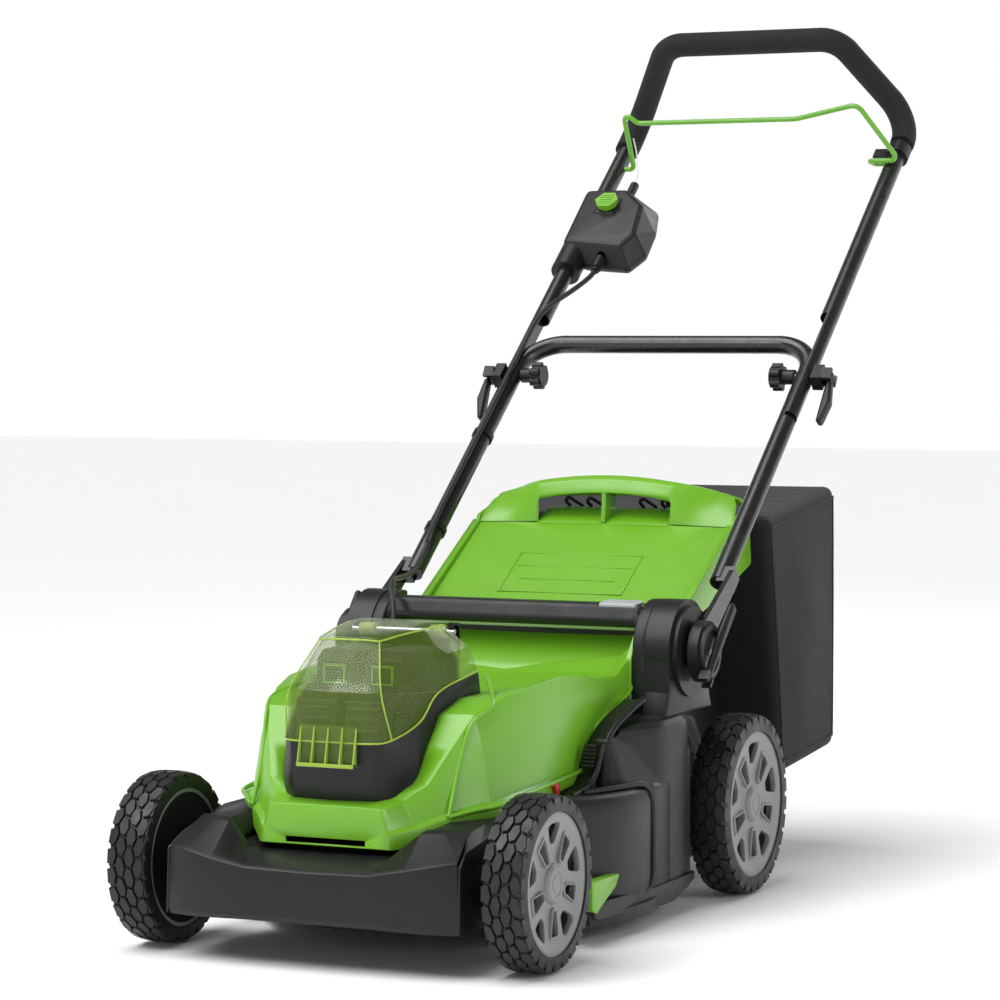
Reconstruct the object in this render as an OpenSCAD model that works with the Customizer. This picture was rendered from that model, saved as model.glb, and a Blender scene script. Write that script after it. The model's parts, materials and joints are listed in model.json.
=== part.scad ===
// Battery push lawn mower, millimetres, +Z up, front towards -Y.
// Modules are written from the front wheel axle (y = 0) and the ground (z = 0); at_base() then
// moves everything so that the origin is the middle of the footprint.

/* [Running gear] */
// Diameter of the front wheels
front_wheel_d = 178; // [170:1:180]
// Diameter of the rear wheels
rear_wheel_d = 203; // [198:1:206]
// Distance between the front and rear axles
wheelbase = 541; // [538:1:548]
// Width over the front wheels
front_track = 466; // [464:1:470]
// Width over the rear wheels
rear_track = 475; // [473:1:480]
// Width of every tyre
tyre_w = 45; // [42:1:46]

/* [Cutting deck] */
// Radius of the blade chamber
chamber_r = 208; // [207:0.5:209]
// Length of the blade
blade_len = 408; // [380:1:410]
// Height of the blade above the ground at the lowest setting
blade_z = 29; // [28:1:34]

/* [Handle] */
// Slope of the handle in use, degrees from level
handle_slope = 39.2; // [38.8:0.1:39.6]
// Half the distance between the handle tubes
tube_x = 192; // [191.8:0.1:192.2]
// Outer radius of the handle tubes
tube_r = 11; // [10.8:0.1:11]
// Wall of the handle tubes
tube_wall = 1.2; // [1:0.1:2]
// Radius over the foam grip
foam_r = 15.5; // [14:0.5:16]

/* [Grass bag] */
// Width of the bag
bag_w = 376; // [370:1:380]

/* [Hidden] */
$fn = 64;

// Front-to-back middle of the whole mower, measured from the front axle
mid_y = 560.2;
// Clearances
fit = 0.05;
gap = 0.3;

front_r = front_wheel_d / 2;
rear_r = rear_wheel_d / 2;
rim_share = 0.807;
stub_r = 6;
hub_r = 14;

// Height adjustment: crank pivots sit behind and below the wheel axles
crank_r = 45;
crank_deg = 35;
crank_y = crank_r * cos(crank_deg);
crank_z = -crank_r * sin(crank_deg);
crank_x = 177;
crank_t = 7;

// Blade chamber
chamber_y = 265;
chamber_wall = 4;
chamber_top = 140;

// Hub of the handle on each side bracket
hub_y = 432;
hub_z = 282;
hub_face = 203;

// A point on the handle line, and its direction
slope_y = 477;
slope_z = 300;
bolt_s = 440;
cross_s = 501;
cross_bend = 52;
lap_from = 358;
lap_to = 550;
lap_end = cross_s - cross_bend;
foot_s = 78;
loop_s = 955;
loop_x = 118;
loop_h = 131;
loop_bend = 45;
top_bend = 40;
grip_s = 906;
bail_s = 866;
bail_wire = 3.25;

// Rear flap hinge and bag mouth
flap_y = 456;
flap_z = 285;
flap_half = 163;
neck_half = 111;

// Power cable routes: x, then along and above the handle line, or x, y, z near the deck
cable_r = 3.3;
upper_route = [[-148, 640, 6], [-150, 628, 7], [-156, 610, 9], [-164, 590, 12], [-174, 570, 14.5],
               [-183, 550, 15.8], [-187, 530, 16], [-188, 500, 16], [-188, 470, 16], [-188, 440.5, 16]];
lower_route = [[-188, 439.5, 16], [-188, 400, 16], [-188, 350, 16], [-188, 300, 16], [-188, 250, 16],
               [-188, 200, 16], [-187, 160, 16.5], [-184, 130, 18], [-180, 110, 20]];
base_route = [[-179.5, 549.4, 384.1], [-177, 530, 369], [-174, 505, 357], [-170, 478, 352], [-165, 450, 351],
              [-158, 420, 351], [-148, 395, 347], [-138, 375, 336], [-130, 362, 318], [-126, 352, 296],
              [-124, 346, 274], [-122, 342, 256]];
pull_route = [[-160.5, 874.5, 44], [-158, 868, 33], [-154.5, 856, 22], [-151.5, 843, 15], [-150, 830, 10],
              [-150, 820, 8]];

function unit(v) = v / norm(v);
function perp(u, v) = unit(v - u * (u * v));
function turn(u, v) = acos(max(-1, min(1, u * v)));
function along(pts, i) = unit(pts[i + 1] - pts[i]);
function setback(pts, bends, i) =
    (i == 0 || i == len(pts) - 1) ? 0
    : bends[i] * tan(turn(along(pts, i - 1), along(pts, i)) / 2);
// Point on the handle line's frame, given in the axle frame
function on_slope(p) = [p[0], slope_y + p[1] * cos(handle_slope) - p[2] * sin(handle_slope),
                        slope_z + p[1] * sin(handle_slope) + p[2] * cos(handle_slope)];

module at_base() translate([0, -mid_y, 0]) children();
module handle_frame() translate([0, slope_y, slope_z]) rotate([handle_slope, 0, 0]) children();
module both_sides() {
  children();
  mirror([1, 0, 0]) children();
}
// Cylinder along X from x0 to x1 at y, z
module xrod(x0, x1, r, y = 0, z = 0) translate([x0, y, z]) rotate([0, 90, 0]) cylinder(h = x1 - x0, r = r);
// Plate across X from x0 to x1, cut from a side outline in y, z
module side_plate(x0, x1, outline) translate([x0, 0, 0]) rotate([90, 0, 90])
  linear_extrude(x1 - x0) polygon(outline);
// Round bar between two points
module bar(a, b, r) {
  d = b - a;
  translate(a) rotate([0, acos(d[2] / norm(d)), atan2(d[1], d[0])]) cylinder(h = norm(d), r = r);
}
// Bent round bar through points, with a bend radius at each inner point; each elbow stands a hair proud
elbow_proud = 0.01;
function overlap(bend, r) = 0.7 * sqrt(2 * bend * r * elbow_proud);
module bent_bar(pts, bends, r) {
  n = len(pts);
  for (i = [0:n - 2]) {
    u = along(pts, i);
    bar(pts[i] + u * max(0, setback(pts, bends, i) - overlap(bends[i], r)),
        pts[i + 1] - u * max(0, setback(pts, bends, i + 1) - overlap(bends[i + 1], r)), r);
  }
  for (i = [1:n - 2]) {
    u = along(pts, i - 1);
    v = along(pts, i);
    m = perp(u, v);
    w = cross(-m, u);
    c = pts[i] - u * setback(pts, bends, i) + m * bends[i];
    multmatrix([[-m[0], u[0], w[0], c[0]], [-m[1], u[1], w[1], c[1]], [-m[2], u[2], w[2], c[2]], [0, 0, 0, 1]])
      rotate_extrude(angle = turn(u, v)) translate([bends[i], 0]) circle(r = r * (1 + elbow_proud));
  }
}
// Closed skin over rings that all have the same number of points
module skin(rings) {
  n = len(rings[0]);
  m = len(rings);
  polyhedron(
    points = [for (r = rings) for (p = r) p],
    faces = concat(
      [[for (i = [0:n - 1]) i]],
      [for (j = [0:m - 2]) for (i = [0:n - 1])
        [j * n + i, (j + 1) * n + i, (j + 1) * n + (i + 1) % n, j * n + (i + 1) % n]],
      [[for (i = [n - 1:-1:0]) (m - 1) * n + i]]));
}
// Swept cable along a list of points
function frame_at(pts, i) = unit(pts[min(i + 1, len(pts) - 1)] - pts[max(i - 1, 0)]);
function ring_at(c, d, r, sides) =
    let (a = perp(d, [1, 0, 0]), b = cross(d, a))
    [for (k = [0:sides - 1]) c + r * (cos(360 * k / sides) * a + sin(360 * k / sides) * b)];
module cable(pts, r, sides = 8) skin([for (i = [0:len(pts) - 1]) ring_at(pts[i], frame_at(pts, i), r, sides)]);
// Hull of balls at points, mirrored left and right
module mirrored_hull(pts, r, fn = 16) hull() both_sides() for (p = pts) translate(p) sphere(r = r, $fn = fn);
module ball_hull(pts, r, fn = 16) hull() for (p = pts) translate(p) sphere(r = r, $fn = fn);

// ---------------------------------------------------------------- deck
module chamber_outline(grow) polygon([
  [0, 18], [chamber_r + grow, 18], [chamber_r + grow, 116], [chamber_r - 24 + grow, chamber_top - chamber_wall + grow],
  [0, chamber_top - chamber_wall + grow]]);
module chamber_solid(grow) translate([0, chamber_y, 0]) rotate_extrude($fn = 96) chamber_outline(grow);

module arm_profile(x0, x1, grow) side_plate(x0, x1, [
  [-62 - grow, 48 - grow], [118, 36], [118, 150 + grow], [30, 128 + grow], [-20, 118 + grow], [-62 - grow, 108 + grow]]);

module deck_shell() color([0.16, 0.16, 0.17]) at_base() difference() {
  union() {
    chamber_solid(chamber_wall);
    // skirt round the foot of the chamber
    translate([0, chamber_y, 16]) cylinder(h = 14, r = chamber_r + 8);
    both_sides() {
      // front arms that carry the axle, cut back under the foot of the cowl
      difference() {
        union() {
          arm_profile(150, 156, 0);
          arm_profile(104, 110, 0);
          side_plate(104, 156, [[-62, 104], [-20, 114], [30, 124], [100, 146], [112, 146], [112, 150], [100, 151],
                                [30, 129], [-20, 118], [-62, 108]]);
        }
        cowl_foot(4.4);
      }
      // axle bearings
      xrod(140, 172, 11, crank_y, front_r + crank_z);
      xrod(150, 172, 11, wheelbase + crank_y, rear_r + crank_z);
      // side pods under the handle brackets, carried back to the rear axle
      difference() {
        ball_hull([[170, 240, 30], [170, 440, 30], [200, 250, 30], [200, 411, 30], [200, 262, 120],
                   [200, 411, 172], [176, 256, 196], [176, 440, 206], [166, 256, 196], [166, 440, 206]], 8);
        ball_hull([[170, 244, 14], [170, 436, 14], [196, 254, 14], [196, 407, 14], [196, 266, 118],
                   [196, 407, 168], [174, 262, 190], [174, 436, 200], [168, 262, 190], [168, 436, 200]], 6);
      }
      side_plate(160, 168, [[440, 22], [600, 62], [600, 112], [520, 200], [440, 214]]);
      // duct walls up to the bag mouth
      side_plate(112, 116, [[410, 20], [470, 20], [585, 120], [600, 150], [512, 292], [480, 262], [440, 200], [410, 139]]);
    }
    // duct floor and the cross wall that carries the rear bearings
    side_plate(-116, 116, [[474, 22], [478, 20], [600, 124], [603, 148], [598, 148], [595, 128]]);
    side_plate(-168, -112, [[560, 70], [566, 70], [566, 150], [560, 150]]);
    side_plate(112, 168, [[560, 70], [566, 70], [566, 150], [560, 150]]);
    side_plate(-168, 168, [[452, 20], [456, 20], [456, 60], [452, 60]]);
    // front cross beam
    side_plate(-156, 156, [[-66, 52], [-62, 50], [-62, 108], [-66, 106]]);
    side_plate(-104, 104, [[-66, 102], [-46, 106], [60, 112], [60, 108], [-46, 102], [-66, 98]]);
  }
  // open chamber and the way out to the bag
  translate([0, 0, -2]) chamber_solid(0);
  translate([-112, 430, 22]) cube([224, 50, 118]);
  // motor shaft, cable and axle holes
  translate([0, chamber_y, 100]) cylinder(h = 60, r = 22);
  xrod(-180, 180, stub_r + fit, crank_y, front_r + crank_z);
  xrod(-180, 180, stub_r + fit, wheelbase + crank_y, rear_r + crank_z);
}

module front_bumper() color([0.18, 0.18, 0.19]) at_base() difference() {
  union() {
    mirrored_hull([[66, -93, 96], [84, -50, 110], [66, -93, 55], [160, -80, 50], [100, -72, 106]], 3.5);
    both_sides() ball_hull([[104, -92, 104], [160, -76, 112], [155, -22, 132], [112, -36, 134], [102, -91, 52],
                            [161, -78, 50], [110, -40, 80], [157, -24, 78]], 3.5, 12);
  }
  // hollow behind the front wall
  mirrored_hull([[50, -84, 90], [80, -44, 102], [50, -84, 40], [150, -66, 40]], 3);
  both_sides() ball_hull([[108, -82, 97], [154, -68, 105], [151, -16, 125], [116, -30, 125], [108, -82, 40],
                          [154, -68, 40], [112, -16, 40], [151, -8, 40]], 3);
  translate([-170, -66.3, 20]) cube([340, 80, 88.6]);
  side_plate(-170, 170, [[-66.3, 108.3], [-62, 108.6], [-20, 118.6], [40, 132], [40, 60], [-66.3, 60]]);
}

module handle_brackets() color([0.17, 0.17, 0.18]) at_base() both_sides() difference() {
  union() {
    xrod(168.4, 197, 57, hub_y, hub_z);
    xrod(190, hub_face, 50, hub_y, hub_z);
    side_plate(168.4, 197, [[hub_y - 56, hub_z], [hub_y - 60, 216.5], [hub_y + 44, 216.5], [hub_y + 56, hub_z]]);
  }
  side_plate(160, 190, [[hub_y - 50, hub_z - 18], [hub_y - 54, 205], [hub_y + 38, 205], [hub_y + 40, hub_z - 24]]);
  xrod(160, 220, 4 + fit, hub_y, hub_z);
  xrod(160, 185, 12, hub_y, hub_z);
}

// ---------------------------------------------------------------- cover, battery bay and lid
// Nose that the fascia and the clear lid share
module nose(inset) mirrored_hull([
  [42 - inset, -34 + inset, 214], [57 - inset, -14 + inset, 150], [57 - inset, -14 + inset, 222],
  [30 - inset, 7 + inset, 318 - inset], [40 - inset, -26 + inset, 270], [46 - inset, -22 + inset, 270],
  [52 - inset, 113 - inset, 328 - inset], [80 - inset, 136 - inset, 280], [74 - inset, 52, 264],
  [74 - inset, 52, 168], [80 - inset, 136 - inset, 262]], 5);
function parting(d) = [[-60, 222 + d], [-8, 222 + d], [16, 240 + d], [30, 256 + d], [48, 269 + d], [132, 283 + d]];

module battery_lid() color([0.75, 0.85, 0.35, 0.45]) at_base() difference() {
  union() {
    difference() {
      nose(0);
      nose(2.6);
      side_plate(-120, 120, concat(parting(0), [[160, 287], [160, 100], [-60, 100]]));
    }
    // latch tab with four ribs
    side_plate(-33, 29, [[-42.6, 212], [-39.4, 212], [-39.4, 222], [-36.5, 225], [-36.5, 232], [-40, 234]]);
    for (x = [-30, -15, 0, 15]) side_plate(x, x + 1.6, [[-48, 214], [-41, 212], [-38, 240]]);
    side_plate(-33, 29, [[-48, 212], [-41, 212], [-41, 214], [-48, 215]]);
    // hinge barrels
    both_sides() difference() {
      union() {
        xrod(30, 50, 7, 127, 322);
        side_plate(30, 50, [[108, 329], [108, 332], [127, 329], [127, 324]]);
      }
      xrod(29, 51, 3 + fit, 127, 322);
    }
  }
  // rear edge of the lid, open over the bulkhead
  both_sides() side_plate(52, 120, [[127, 250], [160, 250], [160, 340], [120, 340]]);
  // room for the hinge cheeks while the lid swings up
  both_sides() xrod(52.4, 70, 18, 127, 322);
  side_plate(-53, 53, [[124, 250], [160, 250], [160, 312], [124, 312]]);
  side_plate(-28, 28, [[117, 250], [160, 250], [160, 340], [117, 340]]);
}

module lid_hinge_pin() color("silver") at_base() xrod(-59, 59, 3, 127, 322);

module front_fascia() color([0.2, 0.2, 0.2]) at_base() difference() {
  nose(0);
  nose(3);
  side_plate(-120, 120, concat(parting(-gap), [[140, 284], [140, 340], [-60, 340]]));
  side_plate(-120, 120, [[-60, 158], [8, 158], [20, 176], [44, 214], [90, 252], [160, 268], [160, 100], [-60, 100]]);
  // open at the back for the bulkhead
  translate([-58.4, 124, 200]) cube([116.8, 40, 100]);
}

module cowl_body() mirrored_hull([
  [62, -26, 128], [62, -22, 150], [70, 40, 206], [112, 40, 236], [118, 6, 148], [134, 96, 252], [142, 210, 262],
  [142, 340, 256], [142, 60, 158], [142, 300, 172], [142, 374, 254], [142, 374, 222]], 6);
module cowl_hollow() mirrored_hull([
  [57, -21, 100], [57, -18, 146], [65, 42, 201], [107, 43, 231], [113, 11, 100], [129, 99, 247], [137, 211, 257],
  [137, 341, 251], [137, 61, 100], [137, 301, 100], [137, 369, 249], [137, 369, 100]], 6);
module cowl_foot(r) mirrored_hull([
  [70, -40, 119], [30, -48, 119], [70, -26, 132], [112, 4, 144], [146, 50, 152], [146, 290, 162],
  [110, -2, 131], [145, 48, 141], [145, 292, 153]], r, 12);
module motor_cowl() color([0.45, 0.72, 0.2]) at_base() difference() {
  union() {
    cowl_body();
    // flared foot along the deck
    cowl_foot(4);
    // side walls rising to the handle brackets
    both_sides() side_plate(145, 152, [[255, 168], [300, 200], [360, 222], [380, 240], [380, 304], [362, 300],
                                       [340, 270], [255, 258]]);
  }
  cowl_hollow();
  mirrored_hull([[65, -33, 111], [30, -41, 111], [65, -21, 126], [107, 9, 138], [141, 55, 146], [141, 297, 157],
                 [107, 9, 109], [141, 55, 109], [141, 297, 109]], 4);
  // room for the nose, the lid and what lies in the bay
  translate([-110, -60, 157.7]) cube([220, 50, 200]);
  side_plate(-88, 88, [[-60, 157.7], [8, 157.7], [20, 175.7], [44, 213.7], [90, 251.7], [137, 262.4],
                       [143, 263.8], [143, 400], [-60, 400]]);
  side_plate(-56.4, 56.4, [[-0.4, 175.6], [132.4, 175.6], [132.4, 243.6], [142.4, 243.6], [142.4, 280], [-0.4, 280]]);
  // air slot in the foot
  translate([-46, -60, 119]) cube([92, 20, 8]);
  // cable entry
  translate([-122, 342, 230]) cylinder(h = 40, r = cable_r + 0.6);
}

module battery_bay() color([0.13, 0.13, 0.14]) at_base() {
  difference() {
    translate([-56, 0, 176]) cube([112, 132, 74]);
    translate([-52, 4, 180]) cube([104, 124, 80]);
  }
  // divider with the key socket
  difference() {
    translate([-4.5, 4, 180]) cube([9, 124, 92]);
    translate([-3, 60, 240]) cube([6, 20, 60]);
  }
  // bulkhead and the cheeks that hold the hinge pin of the lid
  difference() {
    union() {
      side_plate(-56, 56, [[129, 244], [132, 244], [142, 266], [142, 318], [138, 318], [138, 267], [129, 248]]);
      both_sides() side_plate(53, 58, [[124.5, 312], [138, 300], [142, 300], [142, 330], [124.5, 332]]);
    }
    xrod(-70, 70, 3 + fit, 127, 322);
  }
}

module battery_packs() color([0.11, 0.11, 0.11]) at_base() for (x = [-50, 6]) {
  difference() {
    union() {
      translate([x, 8, 180]) cube([44, 112, 86]);
      translate([x + 2, 48, 266]) cube([40, 68, 28]);
    }
    // slots of the contacts
    for (k = [8, 18, 28]) translate([x + k, 100, 179]) cube([3, 14, 12]);
  }
}

module controller() color([0.2, 0.2, 0.22]) at_base() difference() {
  translate([-55, 145, 140]) cube([110, 40, 46]);
  for (k = [0:8]) translate([-50 + 12 * k, 144, 176]) cube([6, 42, 11]);
}

module motor_housing() color([0.3, 0.3, 0.32]) at_base() translate([0, chamber_y, 0]) difference() {
  union() {
    translate([0, 0, chamber_top + 0.2]) cylinder(h = 62, r = 58);
    translate([0, 0, chamber_top + 0.2]) cylinder(h = 6, r = 70);
    translate([0, 0, 104]) cylinder(h = 40, r = 21.8);
  }
  translate([0, 0, chamber_top + 8]) cylinder(h = 46, r = 52);
  translate([0, 0, 100]) cylinder(h = 120, r = 8 + fit);
  for (a = [0:30:330]) rotate(a) translate([0, 46, 170]) cube([8, 30, 24], center = true);
}

module carry_bar() color([0.16, 0.16, 0.17]) at_base() difference() {
  union() {
    ball_hull([[-150, 404, 326], [-150, 418, 326], [-150, 400, 316], [-150, 420, 316],
               [150, 404, 326], [150, 418, 326], [150, 400, 316], [150, 420, 316]], 8, 24);
    both_sides() ball_hull([[150, 400, 318], [150, 424, 322], [160.2, 396, 306], [160.2, 440, 322],
                            [160.2, 420, 290]], 8);
  }
  translate([103, 397.5, 318]) cube([46, 25, 30]);
}

module height_button() color([0.75, 0.75, 0.76]) at_base()
  ball_hull([[106.5, 401, 332], [145.5, 401, 332], [106.5, 419, 334], [145.5, 419, 334],
             [106.5, 401, 326], [145.5, 401, 326], [106.5, 419, 326], [145.5, 419, 326]], 3);

module rear_rail() color([0.14, 0.14, 0.15]) at_base() translate([-142, 426, 292]) cube([284, 10, 10]);

module flap_rod() color("silver") at_base() xrod(-168.4, 168.4, 4, flap_y, flap_z);

module flap_spring() color("silver") at_base() {
  for (k = [0:5]) translate([-60 + 2.6 * k, flap_y, flap_z]) rotate([0, 90, 0])
    rotate_extrude($fn = 32) translate([6.4, 0]) circle(r = 1.2, $fn = 16);
}

module height_scale() color([0.1, 0.1, 0.1]) at_base() {
  translate([208.3, 314, 60]) cube([1.2, 50, 70]);
  for (k = [0:5]) translate([209.5, 320 + 5 * k, 68 + 10 * k]) cube([1, 12, 3]);
}

module lawn_combs() color([0.45, 0.72, 0.2]) at_base() both_sides() difference() {
  side_plate(196, 210, [[136, 40], [200, 56], [206, 66], [160, 68], [136, 50]]);
  for (k = [0:5]) side_plate(200, 211, [[142 + 9 * k, 30], [146 + 9 * k, 30], [146 + 9 * k, 60], [142 + 9 * k, 60]]);
  // rim of the skirt
  translate([0, chamber_y, 0]) cylinder(h = 100, r = chamber_r + 8.3);
}

// ---------------------------------------------------------------- motor and blade
module motor_rotor() color([0.4, 0.4, 0.42]) at_base() translate([0, chamber_y, 0]) {
  translate([0, 0, 60]) cylinder(h = 150, r = 8);
  difference() {
    translate([0, 0, chamber_top + 10]) cylinder(h = 40, r = 50);
    translate([0, 0, chamber_top + 16]) cylinder(h = 28, r = 46);
  }
}

module blade_adapter() color([0.2, 0.2, 0.2]) at_base() translate([0, chamber_y, 0]) difference() {
  union() {
    translate([0, 0, blade_z + 4]) cylinder(h = 60, r = 17);
    translate([0, 0, blade_z + 4]) cylinder(h = 5, r = 30);
    for (a = [0:45:315]) rotate(a) translate([16, -1.2, blade_z + 20]) cube([36, 2.4, 26]);
  }
  translate([0, 0, 60]) cylinder(h = 60, r = 8);
  translate([0, 0, blade_z]) cylinder(h = 60, r = 5);
}

module blade() color([0.55, 0.56, 0.58]) at_base() translate([0, chamber_y, 0]) difference() {
  union() {
    translate([-blade_len / 2, -25, blade_z]) cube([blade_len, 50, 4]);
    for (s = [0, 180]) rotate(s) translate([120, 10, blade_z])
      rotate([90, 0, 90]) linear_extrude(82) polygon([[0, 0], [13, 12], [11, 15], [-3, 4]]);
  }
  translate([0, 0, blade_z - 1]) cylinder(h = 6, r = 5);
}

module blade_bolt() color("silver") at_base() translate([0, chamber_y, 0]) {
  translate([0, 0, blade_z - 7]) cylinder(h = 7, r = 9, $fn = 6);
  translate([0, 0, blade_z - 1]) cylinder(h = 31, r = 5);
  translate([0, 0, blade_z - 2.5]) cylinder(h = 2.5, r = 16);
}

module safety_key() color([0.75, 0.1, 0.08]) at_base() {
  translate([-2.6, 61, 246]) cube([5.2, 18, 30]);
  difference() {
    translate([-3.5, 56, 276]) cube([7, 28, 22]);
    xrod(-4, 4, 6, 70, 288);
  }
}

// ---------------------------------------------------------------- axles and wheels
module cranked_axle(y, z, x_out) {
  xrod(-crank_x - crank_t, crank_x + crank_t, stub_r, y + crank_y, z + crank_z);
  both_sides() {
    difference() {
      union() {
        xrod(crank_x, crank_x + crank_t, 12, y + crank_y, z + crank_z);
        xrod(crank_x, crank_x + crank_t, 12, y, z);
        translate([crank_x, y, z]) rotate([-crank_deg, 0, 0]) translate([0, 0, -9])
          cube([crank_t, crank_r, 18]);
      }
      xrod(crank_x - 1, crank_x + crank_t + 1, stub_r, y + crank_y, z + crank_z);
    }
    xrod(crank_x, x_out, stub_r, y, z);
  }
}
module front_axle() color([0.35, 0.35, 0.37]) at_base() cranked_axle(0, front_r, front_track / 2 - 6);
module rear_axle() color([0.35, 0.35, 0.37]) at_base() cranked_axle(wheelbase, rear_r, rear_track / 2 - 6);

// Wheels are drawn round the Y axis of a lathe: x is the radius, y runs outwards
module tyre_profile(r, w) polygon([
  [r * rim_share + 0.1, 0], [r * 0.9, 0], [r * 0.975, 5], [r, 12], [r, w - 12], [r * 0.975, w - 5], [r * 0.9, w],
  [r * rim_share + 0.1, w]]);
module rim_profile(r, w) polygon([
  [r * rim_share, 1.5], [r * rim_share, w - 1], [r * rim_share - 6, w - 0.5], [20, w - 4], [20, w - 0.5],
  [stub_r + 10, w], [0, w], [0, w - 5], [stub_r + fit, w - 5], [stub_r + fit, 0], [hub_r, 0], [hub_r, w - 12],
  [r * rim_share - 6, w - 10], [r * rim_share - 6, 1.5]]);
module wheel_place(side, y, z, track) translate([side * track / 2, y, z]) rotate([0, side * 90, 0])
  translate([0, 0, -tyre_w]) children();
module tyre(r) rotate_extrude($fn = 128) tyre_profile(r, tyre_w);
module rim(r) difference() {
  rotate_extrude($fn = 128) rim_profile(r, tyre_w);
  for (a = [0:72:288]) {
    rotate(a) translate([0, 0, tyre_w - 15]) linear_extrude(20)
      polygon([[r * 0.63, -9], [r * 0.72, -11], [r * 0.72, 11], [r * 0.63, 9], [r * 0.36, 4], [r * 0.36, -4]]);
    rotate(a + 36) translate([0, 0, tyre_w - 15]) linear_extrude(20)
      polygon([[r * 0.48, -r * 0.12], [r * 0.70, -r * 0.22], [r * 0.70, r * 0.22], [r * 0.48, r * 0.12]]);
  }
}
module tyre_front_left() color([0.08, 0.08, 0.08]) at_base() wheel_place(1, 0, front_r, front_track) tyre(front_r);
module tyre_front_right() color([0.08, 0.08, 0.08]) at_base() wheel_place(-1, 0, front_r, front_track) tyre(front_r);
module tyre_rear_left() color([0.08, 0.08, 0.08]) at_base()
  wheel_place(1, wheelbase, rear_wheel_d / 2, rear_track) tyre(rear_wheel_d / 2);
module tyre_rear_right() color([0.08, 0.08, 0.08]) at_base()
  wheel_place(-1, wheelbase, rear_wheel_d / 2, rear_track) tyre(rear_wheel_d / 2);
module rim_front_left() color([0.6, 0.6, 0.6]) at_base() wheel_place(1, 0, front_r, front_track) rim(front_r);
module rim_front_right() color([0.6, 0.6, 0.6]) at_base() wheel_place(-1, 0, front_r, front_track) rim(front_r);
module rim_rear_left() color([0.6, 0.6, 0.6]) at_base()
  wheel_place(1, wheelbase, rear_wheel_d / 2, rear_track) rim(rear_wheel_d / 2);
module rim_rear_right() color([0.6, 0.6, 0.6]) at_base()
  wheel_place(-1, wheelbase, rear_wheel_d / 2, rear_track) rim(rear_wheel_d / 2);

// ---------------------------------------------------------------- flap and bag
// Side outline of the flap: hinge, long panel, upright hand rest, top ledge
module rear_flap() color([0.5, 0.8, 0.2]) at_base() difference() {
  union() {
    side_plate(-flap_half, flap_half, [[flap_y + 2, flap_z + 5], [650, 405], [655, 434], [697, 444], [697, 441],
                                       [658, 431], [653, 403], [flap_y + 4, flap_z + 2]]);
    // crown over the hand opening
    intersection() {
      side_plate(-120, 120, [[652, 425], [656, 448], [680, 464], [697, 460], [697, 457], [680, 460.5], [659, 446],
                             [656, 424]]);
      translate([0, 700, 444 - 340]) rotate([90, 0, 0]) cylinder(h = 60, r = 356, $fn = 128);
    }
    // side walls
    both_sides() side_plate(flap_half - 3, flap_half, [
      [flap_y, flap_z + 5], [650, 405], [655, 434], [697, 444], [704, 412], [712, 358], [600, 324], [500, 300],
      [flap_y, flap_z - 5]]);
    // hinge barrel
    for (x = [-150, 20, 120]) xrod(x, x + 30, 8, flap_y, flap_z);
    // stiffening rib in the hand opening
    side_plate(-2, 2, [[653, 403], [690, 410], [690, 456], [658, 440]]);
  }
  xrod(-200, 200, 4 + fit, flap_y, flap_z);
  // room for the spring
  xrod(-64, -42, 10, flap_y, flap_z);
  // hand opening
  translate([-83, 640, 405]) cube([81, 25, 28]);
  translate([2, 640, 405]) cube([81, 25, 28]);
}

module bag_outer(inset) mirrored_hull([
  [bag_w / 2 - 14 - inset, 728 + inset, 402 - inset], [bag_w / 2 - 14 - inset, 936 - inset, 428 - inset],
  [bag_w / 2 - 14 - inset, 940 - inset, 134 + inset], [bag_w / 2 - 14 - inset, 776 + inset, 118 + inset]], 14, 24);
module grass_bag() color([0.2, 0.2, 0.2]) at_base() difference() {
  bag_outer(0);
  bag_outer(4);
  // mouth
  side_plate(-neck_half - 0.3, neck_half + 0.3, [[600, 151.7], [772, 151.7], [760, 378.3], [600, 378.3]]);
}
module bag_frame() color([0.12, 0.12, 0.12]) at_base() difference() {
  side_plate(-neck_half, neck_half, [[604, 152], [768, 152], [740, 378], [652, 378], [560, 320]]);
  side_plate(4 - neck_half, neck_half - 4, [[590, 156], [800, 156], [800, 374], [653, 374], [562, 316], [540, 300]]);
}
module bag_handle() color([0.1, 0.1, 0.1]) at_base() bent_bar(
  [[-40, 765, 423], [-40, 758, 447], [40, 758, 447], [40, 765, 423]], [0, 12, 12, 0], 5);

// ---------------------------------------------------------------- lower handle
module d_section(r, side, cut) intersection() {
  circle(r = r);
  translate([side > 0 ? cut : -r - 1, -r - 1]) square([r + 1 - cut * side, 2 * r + 2]);
}
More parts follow.
